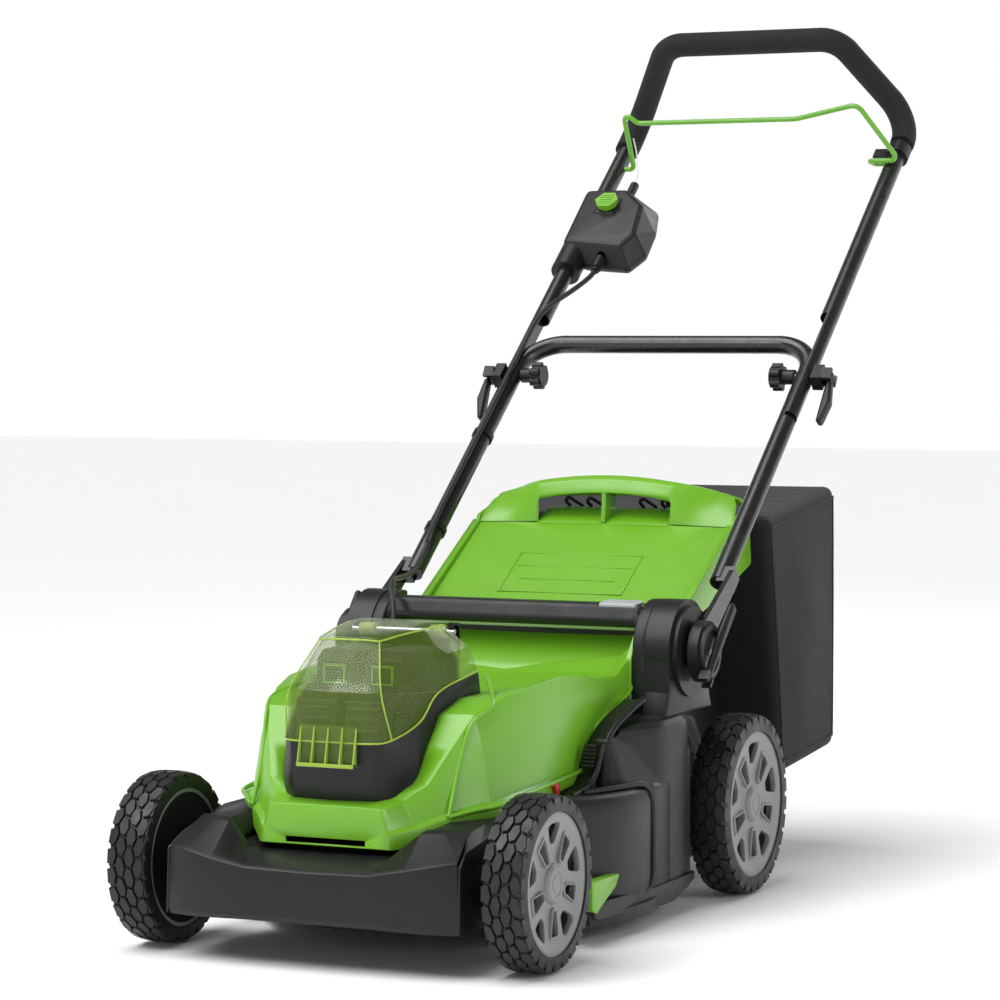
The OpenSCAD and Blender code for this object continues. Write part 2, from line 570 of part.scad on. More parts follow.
// Half-round lap of a tube: side +1 keeps the outboard half
module lap(s0, s1, side, wall) for (m = [0, 1]) mirror([m, 0, 0])
  translate([tube_x, s0, 0]) rotate([-90, 0, 0]) linear_extrude(s1 - s0)
    d_section(tube_r - wall, side, side > 0 ? 0.3 + wall : -0.3 - wall);
module lower_run(r, cut_wall) {
  both_sides() translate([tube_x, foot_s, 0]) rotate([-90, 0, 0]) cylinder(h = lap_from - foot_s, r = r);
  lap(lap_from, lap_end, -1, cut_wall);
  bent_bar([[-tube_x, lap_end, 0], [-tube_x, cross_s, 0], [tube_x, cross_s, 0], [tube_x, lap_end, 0]],
           [0, cross_bend - 0.01, cross_bend - 0.01, 0], r);
}
module lower_handle() color([0.12, 0.12, 0.12]) at_base() difference() {
  union() {
    handle_frame() {
      difference() {
        lower_run(tube_r, 0);
        translate([0, 0.01, 0]) lower_run(tube_r - tube_wall, tube_wall);
        both_sides() translate([tube_x - 0.3, lap_end - 0.01, -15]) cube([20, 60, 30]);
      }
      // pressed foot
      both_sides() translate([192, 0, 0]) rotate([90, 0, 90]) linear_extrude(17)
        polygon([[72, -10], [96, -10], [96, 10], [72, 10]]);
    }
    both_sides() translate([hub_face + gap, 0, 0]) rotate([90, 0, 90]) linear_extrude(5.7) {
      polygon([[hub_y - 4, hub_z + 17], [hub_y + 10, hub_z - 15], on_foot(90, -10), on_foot(90, 10)]);
      translate([hub_y, hub_z]) circle(r = 17);
    }
  }
  xrod(-240, 240, 4 + fit, hub_y, hub_z);
  handle_frame() both_sides() xrod(170, 240, 4 + fit, bolt_s, 0);
}
function on_foot(s, h) = let (p = on_slope([0, s, h])) [p[1], p[2]];

module handle_bolts() color("silver") at_base() both_sides() {
  xrod(180, 224, 4, hub_y, hub_z);
  xrod(176, 180, 8, hub_y, hub_z);
  handle_frame() xrod(156, 216, 4, bolt_s, 0);
}
module hub_knobs() color([0.13, 0.13, 0.14]) at_base() both_sides() {
  difference() {
    union() {
      xrod(209.2, 221, 34, hub_y, hub_z);
      xrod(221, 225, 30, hub_y, hub_z);
    }
    xrod(205, 224, 4, hub_y, hub_z);
    xrod(223, 230, 24, hub_y, hub_z);
  }
  // ears and pin of the release lever
  hub_lever_frame() {
    for (z = [-8.4, 4.6]) translate([223, -44, z]) cube([11, 12, 3.8]);
    translate([229.6, -38, -8.4]) cylinder(h = 16.8, r = 2);
  }
}
module star_knobs() color([0.13, 0.13, 0.14]) at_base() handle_frame() both_sides() difference() {
  union() {
    xrod(150, 164, 13, bolt_s, 0);
    for (a = [0:60:300]) xrod(152, 164, 5, bolt_s + 12 * cos(a), 12 * sin(a));
    xrod(164, 179.5, 9, bolt_s, 0);
  }
  xrod(155.9, 181, 4, bolt_s, 0);
}
module clamp_blocks() color([0.13, 0.13, 0.14]) at_base() handle_frame() both_sides() {
  difference() {
    translate([203.3, bolt_s - 12, -10]) cube([12.7, 24, 20]);
    xrod(200, 220, 4, bolt_s, 0);
  }
  // ears and pin of the cam lever
  cam_lever_frame() {
    for (z = [-11.8, 7.2]) translate([215.5, -7, z]) cube([13, 14, 4.6]);
    translate([223, 0, -11.8]) cylinder(h = 23.6, r = 2);
  }
}
module cable_clips() color([0.1, 0.1, 0.1]) at_base() handle_frame() for (s = [150, 320]) difference() {
  translate([-tube_x, s, 0]) rotate([-90, 0, 0]) cylinder(h = 8, r = tube_r + 2);
  translate([-tube_x, s - 1, 0]) rotate([-90, 0, 0]) cylinder(h = 10, r = tube_r);
}
module power_cable_lower() color([0.06, 0.06, 0.06]) at_base() cable([for (p = lower_route) on_slope(p)], cable_r);
module power_cable_upper() color([0.06, 0.06, 0.06]) at_base() cable([for (p = upper_route) on_slope(p)], cable_r);
module power_cable_base() color([0.06, 0.06, 0.06]) at_base() cable(base_route, cable_r);
module pull_cable() color([0.8, 0.8, 0.8]) at_base() cable([for (p = pull_route) on_slope(p)], 0.9);

// Levers are drawn in a frame with x outwards, y along the lever and z across it
module hub_lever_frame() translate([0, hub_y, hub_z]) rotate([46, 0, 0]) children();
module cam_lever_frame() translate([0, bolt_s, 0]) rotate([20, 0, 0]) children();
module hub_lever() at_base() hub_lever_frame() difference() {
  ball_hull([[229.6, -38, 0], [229.6, 20, -3], [229.6, 20, 3], [232, 62, -3], [232, 62, 3]], 4);
  translate([229.6, -38, -20]) cylinder(h = 40, r = 2 + fit);
}
module hub_lever_left() color([0.13, 0.13, 0.14]) hub_lever();
module hub_lever_right() color([0.13, 0.13, 0.14]) mirror([1, 0, 0]) hub_lever();
module cam_lever() at_base() handle_frame() cam_lever_frame() difference() {
  union() {
    translate([223, 0, -6.8]) cylinder(h = 13.6, r = 6.5);
    ball_hull([[225, -10, -2], [225, -10, 2], [228, -36, -3], [228, -36, 3], [222, -60, -3], [222, -60, 3]], 4);
  }
  translate([223, 0, -20]) cylinder(h = 40, r = 2 + fit);
}
module cam_lever_left() color([0.13, 0.13, 0.14]) cam_lever();
module cam_lever_right() color([0.13, 0.13, 0.14]) mirror([1, 0, 0]) cam_lever();

// ---------------------------------------------------------------- upper handle and controls
loop_points = [[-tube_x, lap_to, 0], [-tube_x, loop_s, 0], [-loop_x, loop_s + 4, loop_h],
               [loop_x, loop_s + 4, loop_h], [tube_x, loop_s, 0], [tube_x, lap_to, 0]];
loop_bends = [0, loop_bend, top_bend, top_bend, loop_bend, 0];
grip_points = [[-tube_x, grip_s, 0], loop_points[1], loop_points[2], loop_points[3], loop_points[4], [tube_x, grip_s, 0]];

module upper_handle() color([0.12, 0.12, 0.12]) at_base() difference() {
  handle_frame() difference() {
    union() {
      bent_bar(loop_points, loop_bends, tube_r);
      lap(lap_from + 7, lap_to, 1, 0);
    }
    bent_bar(loop_points, loop_bends, tube_r - tube_wall);
    translate([0, 0.01, 0]) lap(lap_from + 7, lap_to, 1, tube_wall);
  }
  handle_frame() {
    both_sides() xrod(180, 240, 4 + fit, bolt_s, 0);
    xrod(-190, 190, bail_wire + fit, bail_s, 0);
  }
}
module foam_grip() color([0.07, 0.07, 0.07]) at_base() handle_frame() difference() {
  bent_bar(grip_points, loop_bends, foam_r);
  bent_bar(grip_points, loop_bends, tube_r + 0.15);
}
module switch_housing() color([0.16, 0.16, 0.17]) at_base() handle_frame() difference() {
  union() {
    ball_hull([[-202, 690, -8], [-204, 790, -8], [-200, 808, -6], [-150, 800, -8], [-114, 770, -8], [-106, 735, -8],
               [-104, 690, -8], [-116, 668, -8], [-170, 672, -6], [-196, 690, 14], [-198, 786, 14],
               [-150, 782, 17], [-120, 752, 17], [-114, 700, 14], [-124, 682, 12]], 9);
    translate([-tube_x, 645, 0]) rotate([-90, 0, 0]) cylinder(h = 50, r = 19);
    // raised collar of the start button
    ball_hull([[-174, 742, 22], [-152, 738, 22], [-148, 764, 22], [-170, 770, 22]], 5);
  }
  translate([-tube_x, 600, 0]) rotate([-90, 0, 0]) cylinder(h = 300, r = tube_r);
  // well of the start button
  translate([-161, 753, 12]) cylinder(h = 40, r = 12.6);
  // cable outlets
  translate([-148, 640, 6]) rotate([-90, 0, 0]) cylinder(h = 40, r = 7);
  translate([-150, 790, 8]) rotate([-90, 0, 0]) cylinder(h = 40, r = 6);
}
module start_button() color([0.5, 0.8, 0.2]) at_base() handle_frame() translate([-161, 753, 0]) {
  translate([0, 0, 16.5]) cylinder(h = 16, r = 12.3);
  translate([0, 0, 31.5]) cylinder(h = 4.5, r = 16, $fn = 6);
  for (k = [-2:2]) translate([-9, 4.4 * k - 0.8, 35.5]) cube([18, 1.6, 1.2]);
}
module cable_glands() color([0.1, 0.1, 0.1]) at_base() handle_frame() {
  difference() {
    union() {
      translate([-148, 646, 6]) rotate([-90, 0, 0]) cylinder(h = 20, r = 6.9);
      translate([-148, 640.5, 6]) rotate([-90, 0, 0]) cylinder(h = 22, r = 5);
    }
    translate([-148, 630, 6]) rotate([-90, 0, 0]) cylinder(h = 12, r = cable_r + 0.3);
  }
  difference() {
    translate([-150, 795, 8]) rotate([-90, 0, 0]) cylinder(h = 24.5, r = 5.9);
    translate([-150, 812, 8]) rotate([-90, 0, 0]) cylinder(h = 12, r = 1.2);
  }
}
module stop_plate() color([0.14, 0.14, 0.15]) at_base() handle_frame() {
  difference() {
    translate([tube_x, 878, 0]) rotate([-90, 0, 0]) cylinder(h = 20, r = tube_r + 4);
    translate([tube_x, 870, 0]) rotate([-90, 0, 0]) cylinder(h = 40, r = tube_r);
  }
  translate([160, 880, -1]) cube([20, 16, 3]);
}
bail_lean = 78.8;
function bail_at(x, r) = [x, bail_s + r * cos(bail_lean), r * sin(bail_lean)];
bail_points = [[-187, bail_s, 0], [-168, bail_s, 0], bail_at(-168, 84), bail_at(-150, 66), bail_at(70, 66),
               bail_at(156, 84), [206, bail_s - 14.4, 15.6], [166, bail_s - 14.4, 15.6], [166, bail_s, 0],
               [187, bail_s, 0]];
bail_bends = [0, 6, 6, 10, 60, 16, 6, 6, 6, 0];
module bail_lever() color([0.45, 0.72, 0.2]) at_base() handle_frame()
  bent_bar(bail_points, bail_bends, bail_wire);

// ---------------------------------------------------------------- drawing
deck_shell();
front_bumper();
handle_brackets();
motor_cowl();
front_fascia();
battery_bay();
battery_packs();
controller();
motor_housing();
lid_hinge_pin();
carry_bar();
rear_rail();
flap_rod();
flap_spring();
height_scale();
lawn_combs();
power_cable_base();
motor_rotor();
blade_adapter();
blade();
blade_bolt();
battery_lid();
safety_key();
height_button();
front_axle();
rear_axle();
tyre_front_left();
tyre_front_right();
tyre_rear_left();
tyre_rear_right();
rim_front_left();
rim_front_right();
rim_rear_left();
rim_rear_right();
rear_flap();
grass_bag();
bag_frame();
bag_handle();
lower_handle();
handle_bolts();
hub_knobs();
star_knobs();
clamp_blocks();
cable_clips();
power_cable_lower();
hub_lever_left();
hub_lever_right();
cam_lever_left();
cam_lever_right();
upper_handle();
foam_grip();
switch_housing();
cable_glands();
stop_plate();
power_cable_upper();
pull_cable();
start_button();
bail_lever();
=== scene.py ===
"""Looks of a battery push lawn mower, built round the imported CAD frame."""
import json
import math

import bmesh
import bpy
from mathutils import Matrix, Vector

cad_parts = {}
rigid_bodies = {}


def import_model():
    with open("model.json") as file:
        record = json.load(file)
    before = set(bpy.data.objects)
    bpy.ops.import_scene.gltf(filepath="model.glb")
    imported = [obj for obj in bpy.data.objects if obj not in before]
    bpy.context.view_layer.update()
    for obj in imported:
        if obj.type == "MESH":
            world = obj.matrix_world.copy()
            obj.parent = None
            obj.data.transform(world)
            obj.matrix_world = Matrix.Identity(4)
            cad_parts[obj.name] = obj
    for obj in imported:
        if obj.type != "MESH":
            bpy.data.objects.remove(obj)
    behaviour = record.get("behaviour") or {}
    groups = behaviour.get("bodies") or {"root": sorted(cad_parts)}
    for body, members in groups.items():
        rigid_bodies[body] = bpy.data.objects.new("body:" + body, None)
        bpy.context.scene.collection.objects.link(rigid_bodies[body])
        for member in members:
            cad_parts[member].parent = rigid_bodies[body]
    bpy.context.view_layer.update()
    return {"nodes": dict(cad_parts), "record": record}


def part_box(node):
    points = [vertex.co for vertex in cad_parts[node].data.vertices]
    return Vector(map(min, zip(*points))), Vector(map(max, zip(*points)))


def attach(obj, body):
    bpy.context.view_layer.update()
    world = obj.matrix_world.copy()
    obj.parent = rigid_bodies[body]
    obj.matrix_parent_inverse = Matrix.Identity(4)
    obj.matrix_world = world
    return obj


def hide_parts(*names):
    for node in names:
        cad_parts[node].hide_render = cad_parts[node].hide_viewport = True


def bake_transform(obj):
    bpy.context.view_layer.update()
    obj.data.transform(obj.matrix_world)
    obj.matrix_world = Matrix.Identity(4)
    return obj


for startup_object in list(bpy.data.objects):
    bpy.data.objects.remove(startup_object)
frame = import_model()
nodes = frame["nodes"]

# ------------------------------------------------------------------ places, in millimetres
MM = 0.001
wheel_low, wheel_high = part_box("tyre_front_left")
AXLE_Y = (wheel_low.y + wheel_high.y) / 2
HANDLE_SLOPE = math.radians(39.2)
HANDLE_BASE = (477, 300)
WHEELBASE = 541
HUB = (432, 282)
LID_HINGE = (127, 322)
FLAP_HINGE = (456, 285)
SIDES = ((-1, "right"), (1, "left"))


def place(x, y, z):
    """A point given in millimetres from the front axle and the ground."""
    return Vector((x * MM, AXLE_Y + y * MM, z * MM))


def on_handle(x, s, h):
    """A point given across, along and above the line of the handle."""
    c, n = math.cos(HANDLE_SLOPE), math.sin(HANDLE_SLOPE)
    return place(x, HANDLE_BASE[0] + s * c - h * n, HANDLE_BASE[1] + s * n + h * c)


# ------------------------------------------------------------------ materials
class Surface:
    """A node material built step by step round one Principled shader."""

    def __init__(self, name, color, rough, metallic=0.0):
        self.mat = bpy.data.materials.new(name)
        self.mat.use_nodes = True
        self.tree = self.mat.node_tree
        self.shader = self.tree.nodes["Principled BSDF"]
        self.shader.inputs["Base Color"].default_value = (*color, 1)
        self.shader.inputs["Roughness"].default_value = rough
        self.shader.inputs["Metallic"].default_value = metallic
        self.color = color
        self.coords = self.node("ShaderNodeTexCoord")
        self.height = None

    def node(self, kind, **values):
        made = self.tree.nodes.new(kind)
        for key, value in values.items():
            setattr(made, key, value)
        return made

    def link(self, a, b):
        self.tree.links.new(a, b)

    def set(self, **values):
        for key, value in values.items():
            self.shader.inputs[key.replace("_", " ")].default_value = value
        return self

    def noise(self, scale, detail=4.0, stretch=(1, 1, 1)):
        mapping = self.node("ShaderNodeMapping")
        mapping.inputs["Scale"].default_value = stretch
        self.link(self.coords.outputs["Object"], mapping.inputs["Vector"])
        made = self.node("ShaderNodeTexNoise")
        made.inputs["Scale"].default_value = scale
        made.inputs["Detail"].default_value = detail
        self.link(mapping.outputs["Vector"], made.inputs["Vector"])
        return made.outputs["Fac"]

    def ramp(self, source, low, high, start=0.35, end=0.65):
        made = self.node("ShaderNodeMapRange")
        made.inputs["From Min"].default_value = start
        made.inputs["From Max"].default_value = end
        made.inputs["To Min"].default_value = low
        made.inputs["To Max"].default_value = high
        self.link(source, made.inputs["Value"])
        return made.outputs["Result"]

    def vary_color(self, source, amount):
        mix = self.node("ShaderNodeMix", data_type="RGBA")
        mix.inputs["A"].default_value = (*[c * (1 - amount) for c in self.color], 1)
        mix.inputs["B"].default_value = (*[min(1, c * (1 + amount)) for c in self.color], 1)
        self.link(source, mix.inputs["Factor"])
        self.link(mix.outputs["Result"], self.shader.inputs["Base Color"])
        return self

    def vary_rough(self, source, low, high):
        self.link(self.ramp(source, low, high), self.shader.inputs["Roughness"])
        return self

    def bump(self, source, strength, distance=0.001):
        made = self.node("ShaderNodeBump")
        made.inputs["Strength"].default_value = strength
        made.inputs["Distance"].default_value = distance
        self.link(source, made.inputs["Height"])
        if self.height:
            self.link(self.height, made.inputs["Normal"])
        self.height = made.outputs["Normal"]
        self.link(self.height, self.shader.inputs["Normal"])
        return self


def moulded(name, color, rough, grain=900, strength=0.12, shade=0.06):
    """Moulded plastic with a fine grain and slightly uneven gloss."""
    made = Surface(name, color, rough)
    made.vary_color(made.noise(7, 3), shade)
    made.vary_rough(made.noise(35, 5), rough - 0.03, rough + 0.04)
    made.bump(made.noise(grain, 2), strength, 0.0004)
    return made


def coated_metal(name, color, rough, orange_peel=320):
    """Painted metal with a slight orange peel under a clear coat."""
    made = Surface(name, color, rough)
    made.set(Coat_Weight=0.35, Coat_Roughness=0.25)
    made.vary_color(made.noise(12, 3), 0.08)
    made.vary_rough(made.noise(60, 5), rough - 0.05, rough + 0.08)
    made.bump(made.noise(orange_peel, 2), 0.1, 0.0004)
    return made


def woven(name, color):
    """Coarse polyester weave from two crossing sets of bands."""
    made = Surface(name, color, 0.86)
    made.set(Sheen_Weight=0.12, Sheen_Roughness=0.5, Specular_IOR_Level=0.25)
    bands = []
    for turn in ((0, 0, math.radians(45)), (0, math.radians(90), 0)):
        mapping = made.node("ShaderNodeMapping")
        mapping.inputs["Rotation"].default_value = turn
        made.link(made.coords.outputs["Object"], mapping.inputs["Vector"])
        wave = made.node("ShaderNodeTexWave")
        wave.inputs["Scale"].default_value = 95
        wave.inputs["Distortion"].default_value = 0.6
        wave.inputs["Detail"].default_value = 1.0
        made.link(mapping.outputs["Vector"], wave.inputs["Vector"])
        bands.append(wave.outputs["Fac"])
    crossing = made.node("ShaderNodeMath", operation="MULTIPLY")
    made.link(bands[0], crossing.inputs[0])
    made.link(bands[1], crossing.inputs[1])
    made.vary_color(made.noise(9, 4), 0.22)
    made.bump(made.noise(14, 3), 0.25, 0.003)
    made.bump(crossing.outputs[0], 0.55, 0.0008)
    return made


def foam_surface(name):
    """Soft foam sleeve with fine open cells."""
    made = Surface(name, (0.009, 0.009, 0.009), 0.85)
    cells = made.node("ShaderNodeTexVoronoi")
    cells.inputs["Scale"].default_value = 900
    made.link(made.coords.outputs["Object"], cells.inputs["Vector"])
    made.vary_color(made.noise(40, 4), 0.25)
    made.bump(cells.outputs["Distance"], 0.35, 0.0005)
    made.bump(made.noise(60, 3), 0.15, 0.001)
    return made


def rubber_surface(name):
    """Matt tyre rubber with uneven wear."""
    made = Surface(name, (0.0075, 0.0075, 0.008), 0.48)
    made.vary_color(made.noise(25, 4), 0.3)
    made.vary_rough(made.noise(45, 4), 0.38, 0.56)
    made.bump(made.noise(700, 2), 0.15, 0.0004)
    return made


def clear_plastic(name, color, alpha):
    """Tinted plastic that shows what stands behind it."""
    made = Surface(name, color, 0.08)
    made.set(Alpha=alpha, IOR=1.45, Coat_Weight=0.25, Coat_Roughness=0.05)
    made.vary_rough(made.noise(30, 3), 0.05, 0.14)
    made.mat.surface_render_method = "BLENDED"
    return made


def brushed(name, color, rough):
    """Bare metal brushed along one direction."""
    made = Surface(name, color, rough, metallic=1.0)
    made.vary_rough(made.noise(140, 3, (1, 12, 12)), rough - 0.08, rough + 0.12)
    made.bump(made.noise(260, 2, (1, 10, 10)), 0.06, 0.0003)
    return made


LIME = (0.170, 0.455, 0.018)
FINISH = {
    "black_plastic": moulded("black_plastic", (0.0085, 0.0085, 0.009), 0.40).set(Specular_IOR_Level=0.38).mat,
    "smooth_black": moulded("smooth_black", (0.007, 0.007, 0.0075), 0.34, 1200, 0.05).set(Specular_IOR_Level=0.4).mat,
    "green_plastic": moulded("green_plastic", LIME, 0.32, 1500, 0.02, 0.03)
    .set(Coat_Weight=0.2, Coat_Roughness=0.2).mat,
    "battery_case": moulded("battery_case", (0.014, 0.014, 0.014), 0.45).mat,
    "dark_metal": coated_metal("dark_metal", (0.06, 0.06, 0.065), 0.45).mat,
    "bright_steel": brushed("bright_steel", (0.62, 0.62, 0.63), 0.3).mat,
    "blade_steel": brushed("blade_steel", (0.18, 0.18, 0.19), 0.42).mat,
    "clear_lid": clear_plastic("clear_lid", (0.17, 0.26, 0.035), 0.27).mat,
    # a brighter, more opaque copy of the lid plastic: a painted highlight for the light that gathers in the clear lid's
    # edges and thick mouldings
    "lid_edge": clear_plastic("lid_edge", (0.42, 0.62, 0.07), 0.7).mat,
    "red_plastic": moulded("red_plastic", (0.55, 0.02, 0.015), 0.35).mat,
    "grey_button": moulded("grey_button", (0.42, 0.43, 0.44), 0.4).mat,
    "tyre_rubber": rubber_surface("tyre_rubber").mat,
    "grey_rim": moulded("grey_rim", (0.235, 0.238, 0.242), 0.42, 700, 0.08).mat,
    "bag_fabric": woven("bag_fabric", (0.011, 0.011, 0.0115)).mat,
    "bag_piping": moulded("bag_piping", (0.014, 0.014, 0.014), 0.75, 500, 0.4).mat,
    "black_tube": coated_metal("black_tube", (0.008, 0.008, 0.0085), 0.28).mat,
    "foam": foam_surface("foam").mat,
    "cable_black": moulded("cable_black", (0.012, 0.012, 0.012), 0.5, 600, 0.2).mat,
    "cable_clear": moulded("cable_clear", (0.72, 0.73, 0.74), 0.3).mat,
    "green_wire": coated_metal("green_wire", (0.13, 0.40, 0.02), 0.3).mat,
}
slot_of = {entry["node"]: entry["material_slot"] for entry in frame["record"]["subparts"]}
for node_name, obj in nodes.items():
    for material_slot in obj.material_slots:
        material_slot.material = FINISH[slot_of[node_name]]

# ------------------------------------------------------------------ mesh tools
def add_bevel(obj, width, segments, angle):
    """Adds a bevel on the edges sharper than an angle in degrees."""
    edge = obj.modifiers.new("edge", "BEVEL")
    edge.width = width
    edge.segments = segments
    edge.limit_method = "ANGLE"
    edge.angle_limit = math.radians(angle)


def add_cut(obj, cutter):
    """Adds a cut through an object by another one."""
    hole = obj.modifiers.new("cut", "BOOLEAN")
    hole.object = cutter
    hole.solver = "EXACT"


def finished(name, points, faces, finish, body, bevel=0.0, segments=2, thick=0.0, subdivide=0, replace=(),
             angle=30, slot=None):
    """Makes one piece from points in metres, rounds its edges and rides it on a body."""
    mesh = bpy.data.meshes.new(name)
    mesh.from_pydata([tuple(p) for p in points], [], faces)
    obj = bpy.data.objects.new(name, mesh)
    bpy.context.scene.collection.objects.link(obj)
    work = bmesh.new()
    work.from_mesh(mesh)
    bmesh.ops.remove_doubles(work, verts=work.verts, dist=0.00002)
    bmesh.ops.recalc_face_normals(work, faces=work.faces)
    work.to_mesh(mesh)
    work.free()
    if thick:
        shell = obj.modifiers.new("wall", "SOLIDIFY")
        shell.thickness = thick
        shell.offset = -1
    if subdivide:
        obj.modifiers.new("round", "SUBSURF").levels = subdivide
    if bevel:
        add_bevel(obj, bevel, segments, angle)
    bake(obj)
    for face in obj.data.polygons:
        face.use_smooth = True
    obj.data.set_sharp_from_angle(angle=math.radians(angle + 8))
    obj.data.materials.append(FINISH[finish])
    if isinstance(body, tuple):
        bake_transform(obj)
    else:
        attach(obj, body)
    if replace:
        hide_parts(*replace)
    return obj


def bake(obj):
    """Applies every modifier of an object."""
    if not obj.modifiers:
        return
    bpy.context.view_layer.update()
    shaped = obj.evaluated_get(bpy.context.evaluated_depsgraph_get())
    mesh = bpy.data.meshes.new_from_object(shaped)
    obj.modifiers.clear()
    old = obj.data
    obj.data = mesh
    bpy.data.meshes.remove(old)


def loft(rows, closed=False):
    """Points and faces of a surface through rows of points that all have the same length."""
    width = len(rows[0])
    points = [p for row in rows for p in row]
    last = width if closed else width - 1
    faces = []
    for r in range(len(rows) - 1):
        for k in range(last):
            a, b = r * width + k, r * width + (k + 1) % width
            faces.append((a, b, b + width, a + width))
    return points, faces


def mirrored(half_rows):
    """Whole rows from half rows that start on the middle line and run outwards."""
    return [[(-x, y, z) for x, y, z in reversed(row[1:])] + list(row) for row in half_rows]


def panel(name, half_rows, finish, body, both=True, **options):
    """A shell lofted through rows given in millimetres, mirrored about the middle."""
    rows = mirrored(half_rows) if both else half_rows
    rows = [[place(*p) for p in row] for row in rows]
    points, faces = loft(rows)
    return finished(name, points, faces, finish, body, **options)


def join_meshes(parts):
    """One list of points and faces from several."""
    points, faces = [], []
    for some_points, some_faces in parts:
        start = len(points)
        points += some_points
        faces += [tuple(i + start for i in face) for face in some_faces]
    return points, faces


def prism(outline, low, high, to_point):
    """A straight prism over a flat outline; to_point turns (u, v, w) into a place."""
    n = len(outline)
    points = [to_point(u, v, low) for u, v in outline] + [to_point(u, v, high) for u, v in outline]
    faces = [tuple(range(n - 1, -1, -1)), tuple(range(n, 2 * n))]
    faces += [(k, (k + 1) % n, n + (k + 1) % n, n + k) for k in range(n)]
    return points, faces


def rounded(corners, radius, steps=4):
    """A flat outline with every corner rounded by a quadratic arc."""
    outline = []
    n = len(corners)
    for i in range(n):
        here = Vector(corners[i])
        before = (Vector(corners[i - 1]) - here)
        after = (Vector(corners[(i + 1) % n]) - here)
        a = here + before.normalized() * min(radius, before.length * 0.45)
        b = here + after.normalized() * min(radius, after.length * 0.45)
        for k in range(steps + 1):
            t = k / steps
            outline.append(tuple(a * (1 - t) ** 2 + here * 2 * t * (1 - t) + b * t ** 2))
    return outline


def box_part(low, high):
    """Points and faces of a box between two corners in millimetres."""
    outline = [(low[0], low[1]), (high[0], low[1]), (high[0], high[1]), (low[0], high[1])]
    return prism(outline, low[2], high[2], place)


def side_part(outline, x0, x1):
    """A plate across X cut from a side outline in y, z."""
    return prism(outline, x0, x1, lambda y, z, x: place(x, y, z))


def lathe(profile, to_point, steps=96):
    """A ring from a closed profile of (radius, across)."""
    rows = []
    for k in range(steps + 1):
        turn = 2 * math.pi * k / steps
        rows.append([to_point(r * math.cos(turn), r * math.sin(turn), w) for r, w in profile])
    return loft(rows, closed=True)


def rope(name, path, radius, finish, body, replace=(), sides=12, samples=10, slot=None):
    """A round cable along a smooth curve through points in metres."""
    pts = [Vector(p) for p in path]
    fine = []
    for i in range(len(pts) - 1):
        before = pts[i - 1] if i else pts[0] * 2 - pts[1]
        after = pts[i + 2] if i + 2 < len(pts) else pts[-1] * 2 - pts[-2]
        for k in range(samples):
            t = k / samples
            fine.append(0.5 * ((2 * pts[i]) + (pts[i + 1] - before) * t
                               + (2 * before - 5 * pts[i] + 4 * pts[i + 1] - after) * t ** 2
                               + (3 * pts[i] - before - 3 * pts[i + 1] + after) * t ** 3))
    fine.append(pts[-1])
    rows = []
    normal = None
    for i, point in enumerate(fine):
        along = (fine[min(i + 1, len(fine) - 1)] - fine[max(i - 1, 0)]).normalized()
        normal = (normal or along.orthogonal()).normalized()
        normal = (normal - along * normal.dot(along)).normalized()
        side = along.cross(normal)
        rows.append([point + (normal * math.cos(a) + side * math.sin(a)) * radius
                     for a in (2 * math.pi * k / sides for k in range(sides))])
    points, faces = loft(rows, closed=True)
    faces += [tuple(range(sides)), tuple(len(points) - sides + k for k in range(sides))]
    return finished(name, points, faces, finish, body, replace=replace, slot=slot, angle=50)


# ------------------------------------------------------------------ wheels
TYRE_W = 45
RIM_SHARE = 0.807
TREAD_DEPTH = 3.2
ROW_PITCH = 10.4
SHORT = 3.4
TALL = 7.0
GROOVE = 2.4
LUG_PITCH = 21
LUG_SLANT = 0.3
LUG_REACH = 21.3
CROWN_DROP = 2.6


def wheel_frame(side, y, z, outer_face):
    """Turns wheel coordinates into places: u, v in the wheel's plane, w outwards from its inner face."""
    return lambda u, v, w: place(side * (outer_face - TYRE_W + w), y + u, z + v)


def crown(across):
    """How far the tread falls away from the middle of the tyre to its shoulders."""
    return -CROWN_DROP * abs(across / (TYRE_W / 2)) ** 3


def lug(base_r, turn, outline, to_point):
    """One raised block of tread: its outline is (along the rolling direction, across) in millimetres."""
    n = len(outline)
    middle = sum(v for _, v in outline) / n
    centre_u = sum(u for u, _ in outline) / n
    points = []
    for lift, shrink in ((-1.0, 1.03), (TREAD_DEPTH - 0.6, 0.97), (TREAD_DEPTH, 0.90)):
        for u, v in outline:
            su, sv = centre_u + (u - centre_u) * shrink, middle + (v - middle) * shrink
            r = base_r + crown(sv) + lift
            a = turn + su / base_r
            points.append(to_point(r * math.cos(a), r * math.sin(a), TYRE_W / 2 + sv))
    faces = [tuple(range(2 * n, 3 * n))]
    for ring in (0, 1):
        faces += [(ring * n + k, ring * n + (k + 1) % n, (ring + 1) * n + (k + 1) % n, (ring + 1) * n + k)
                  for k in range(n)]
    return points, faces


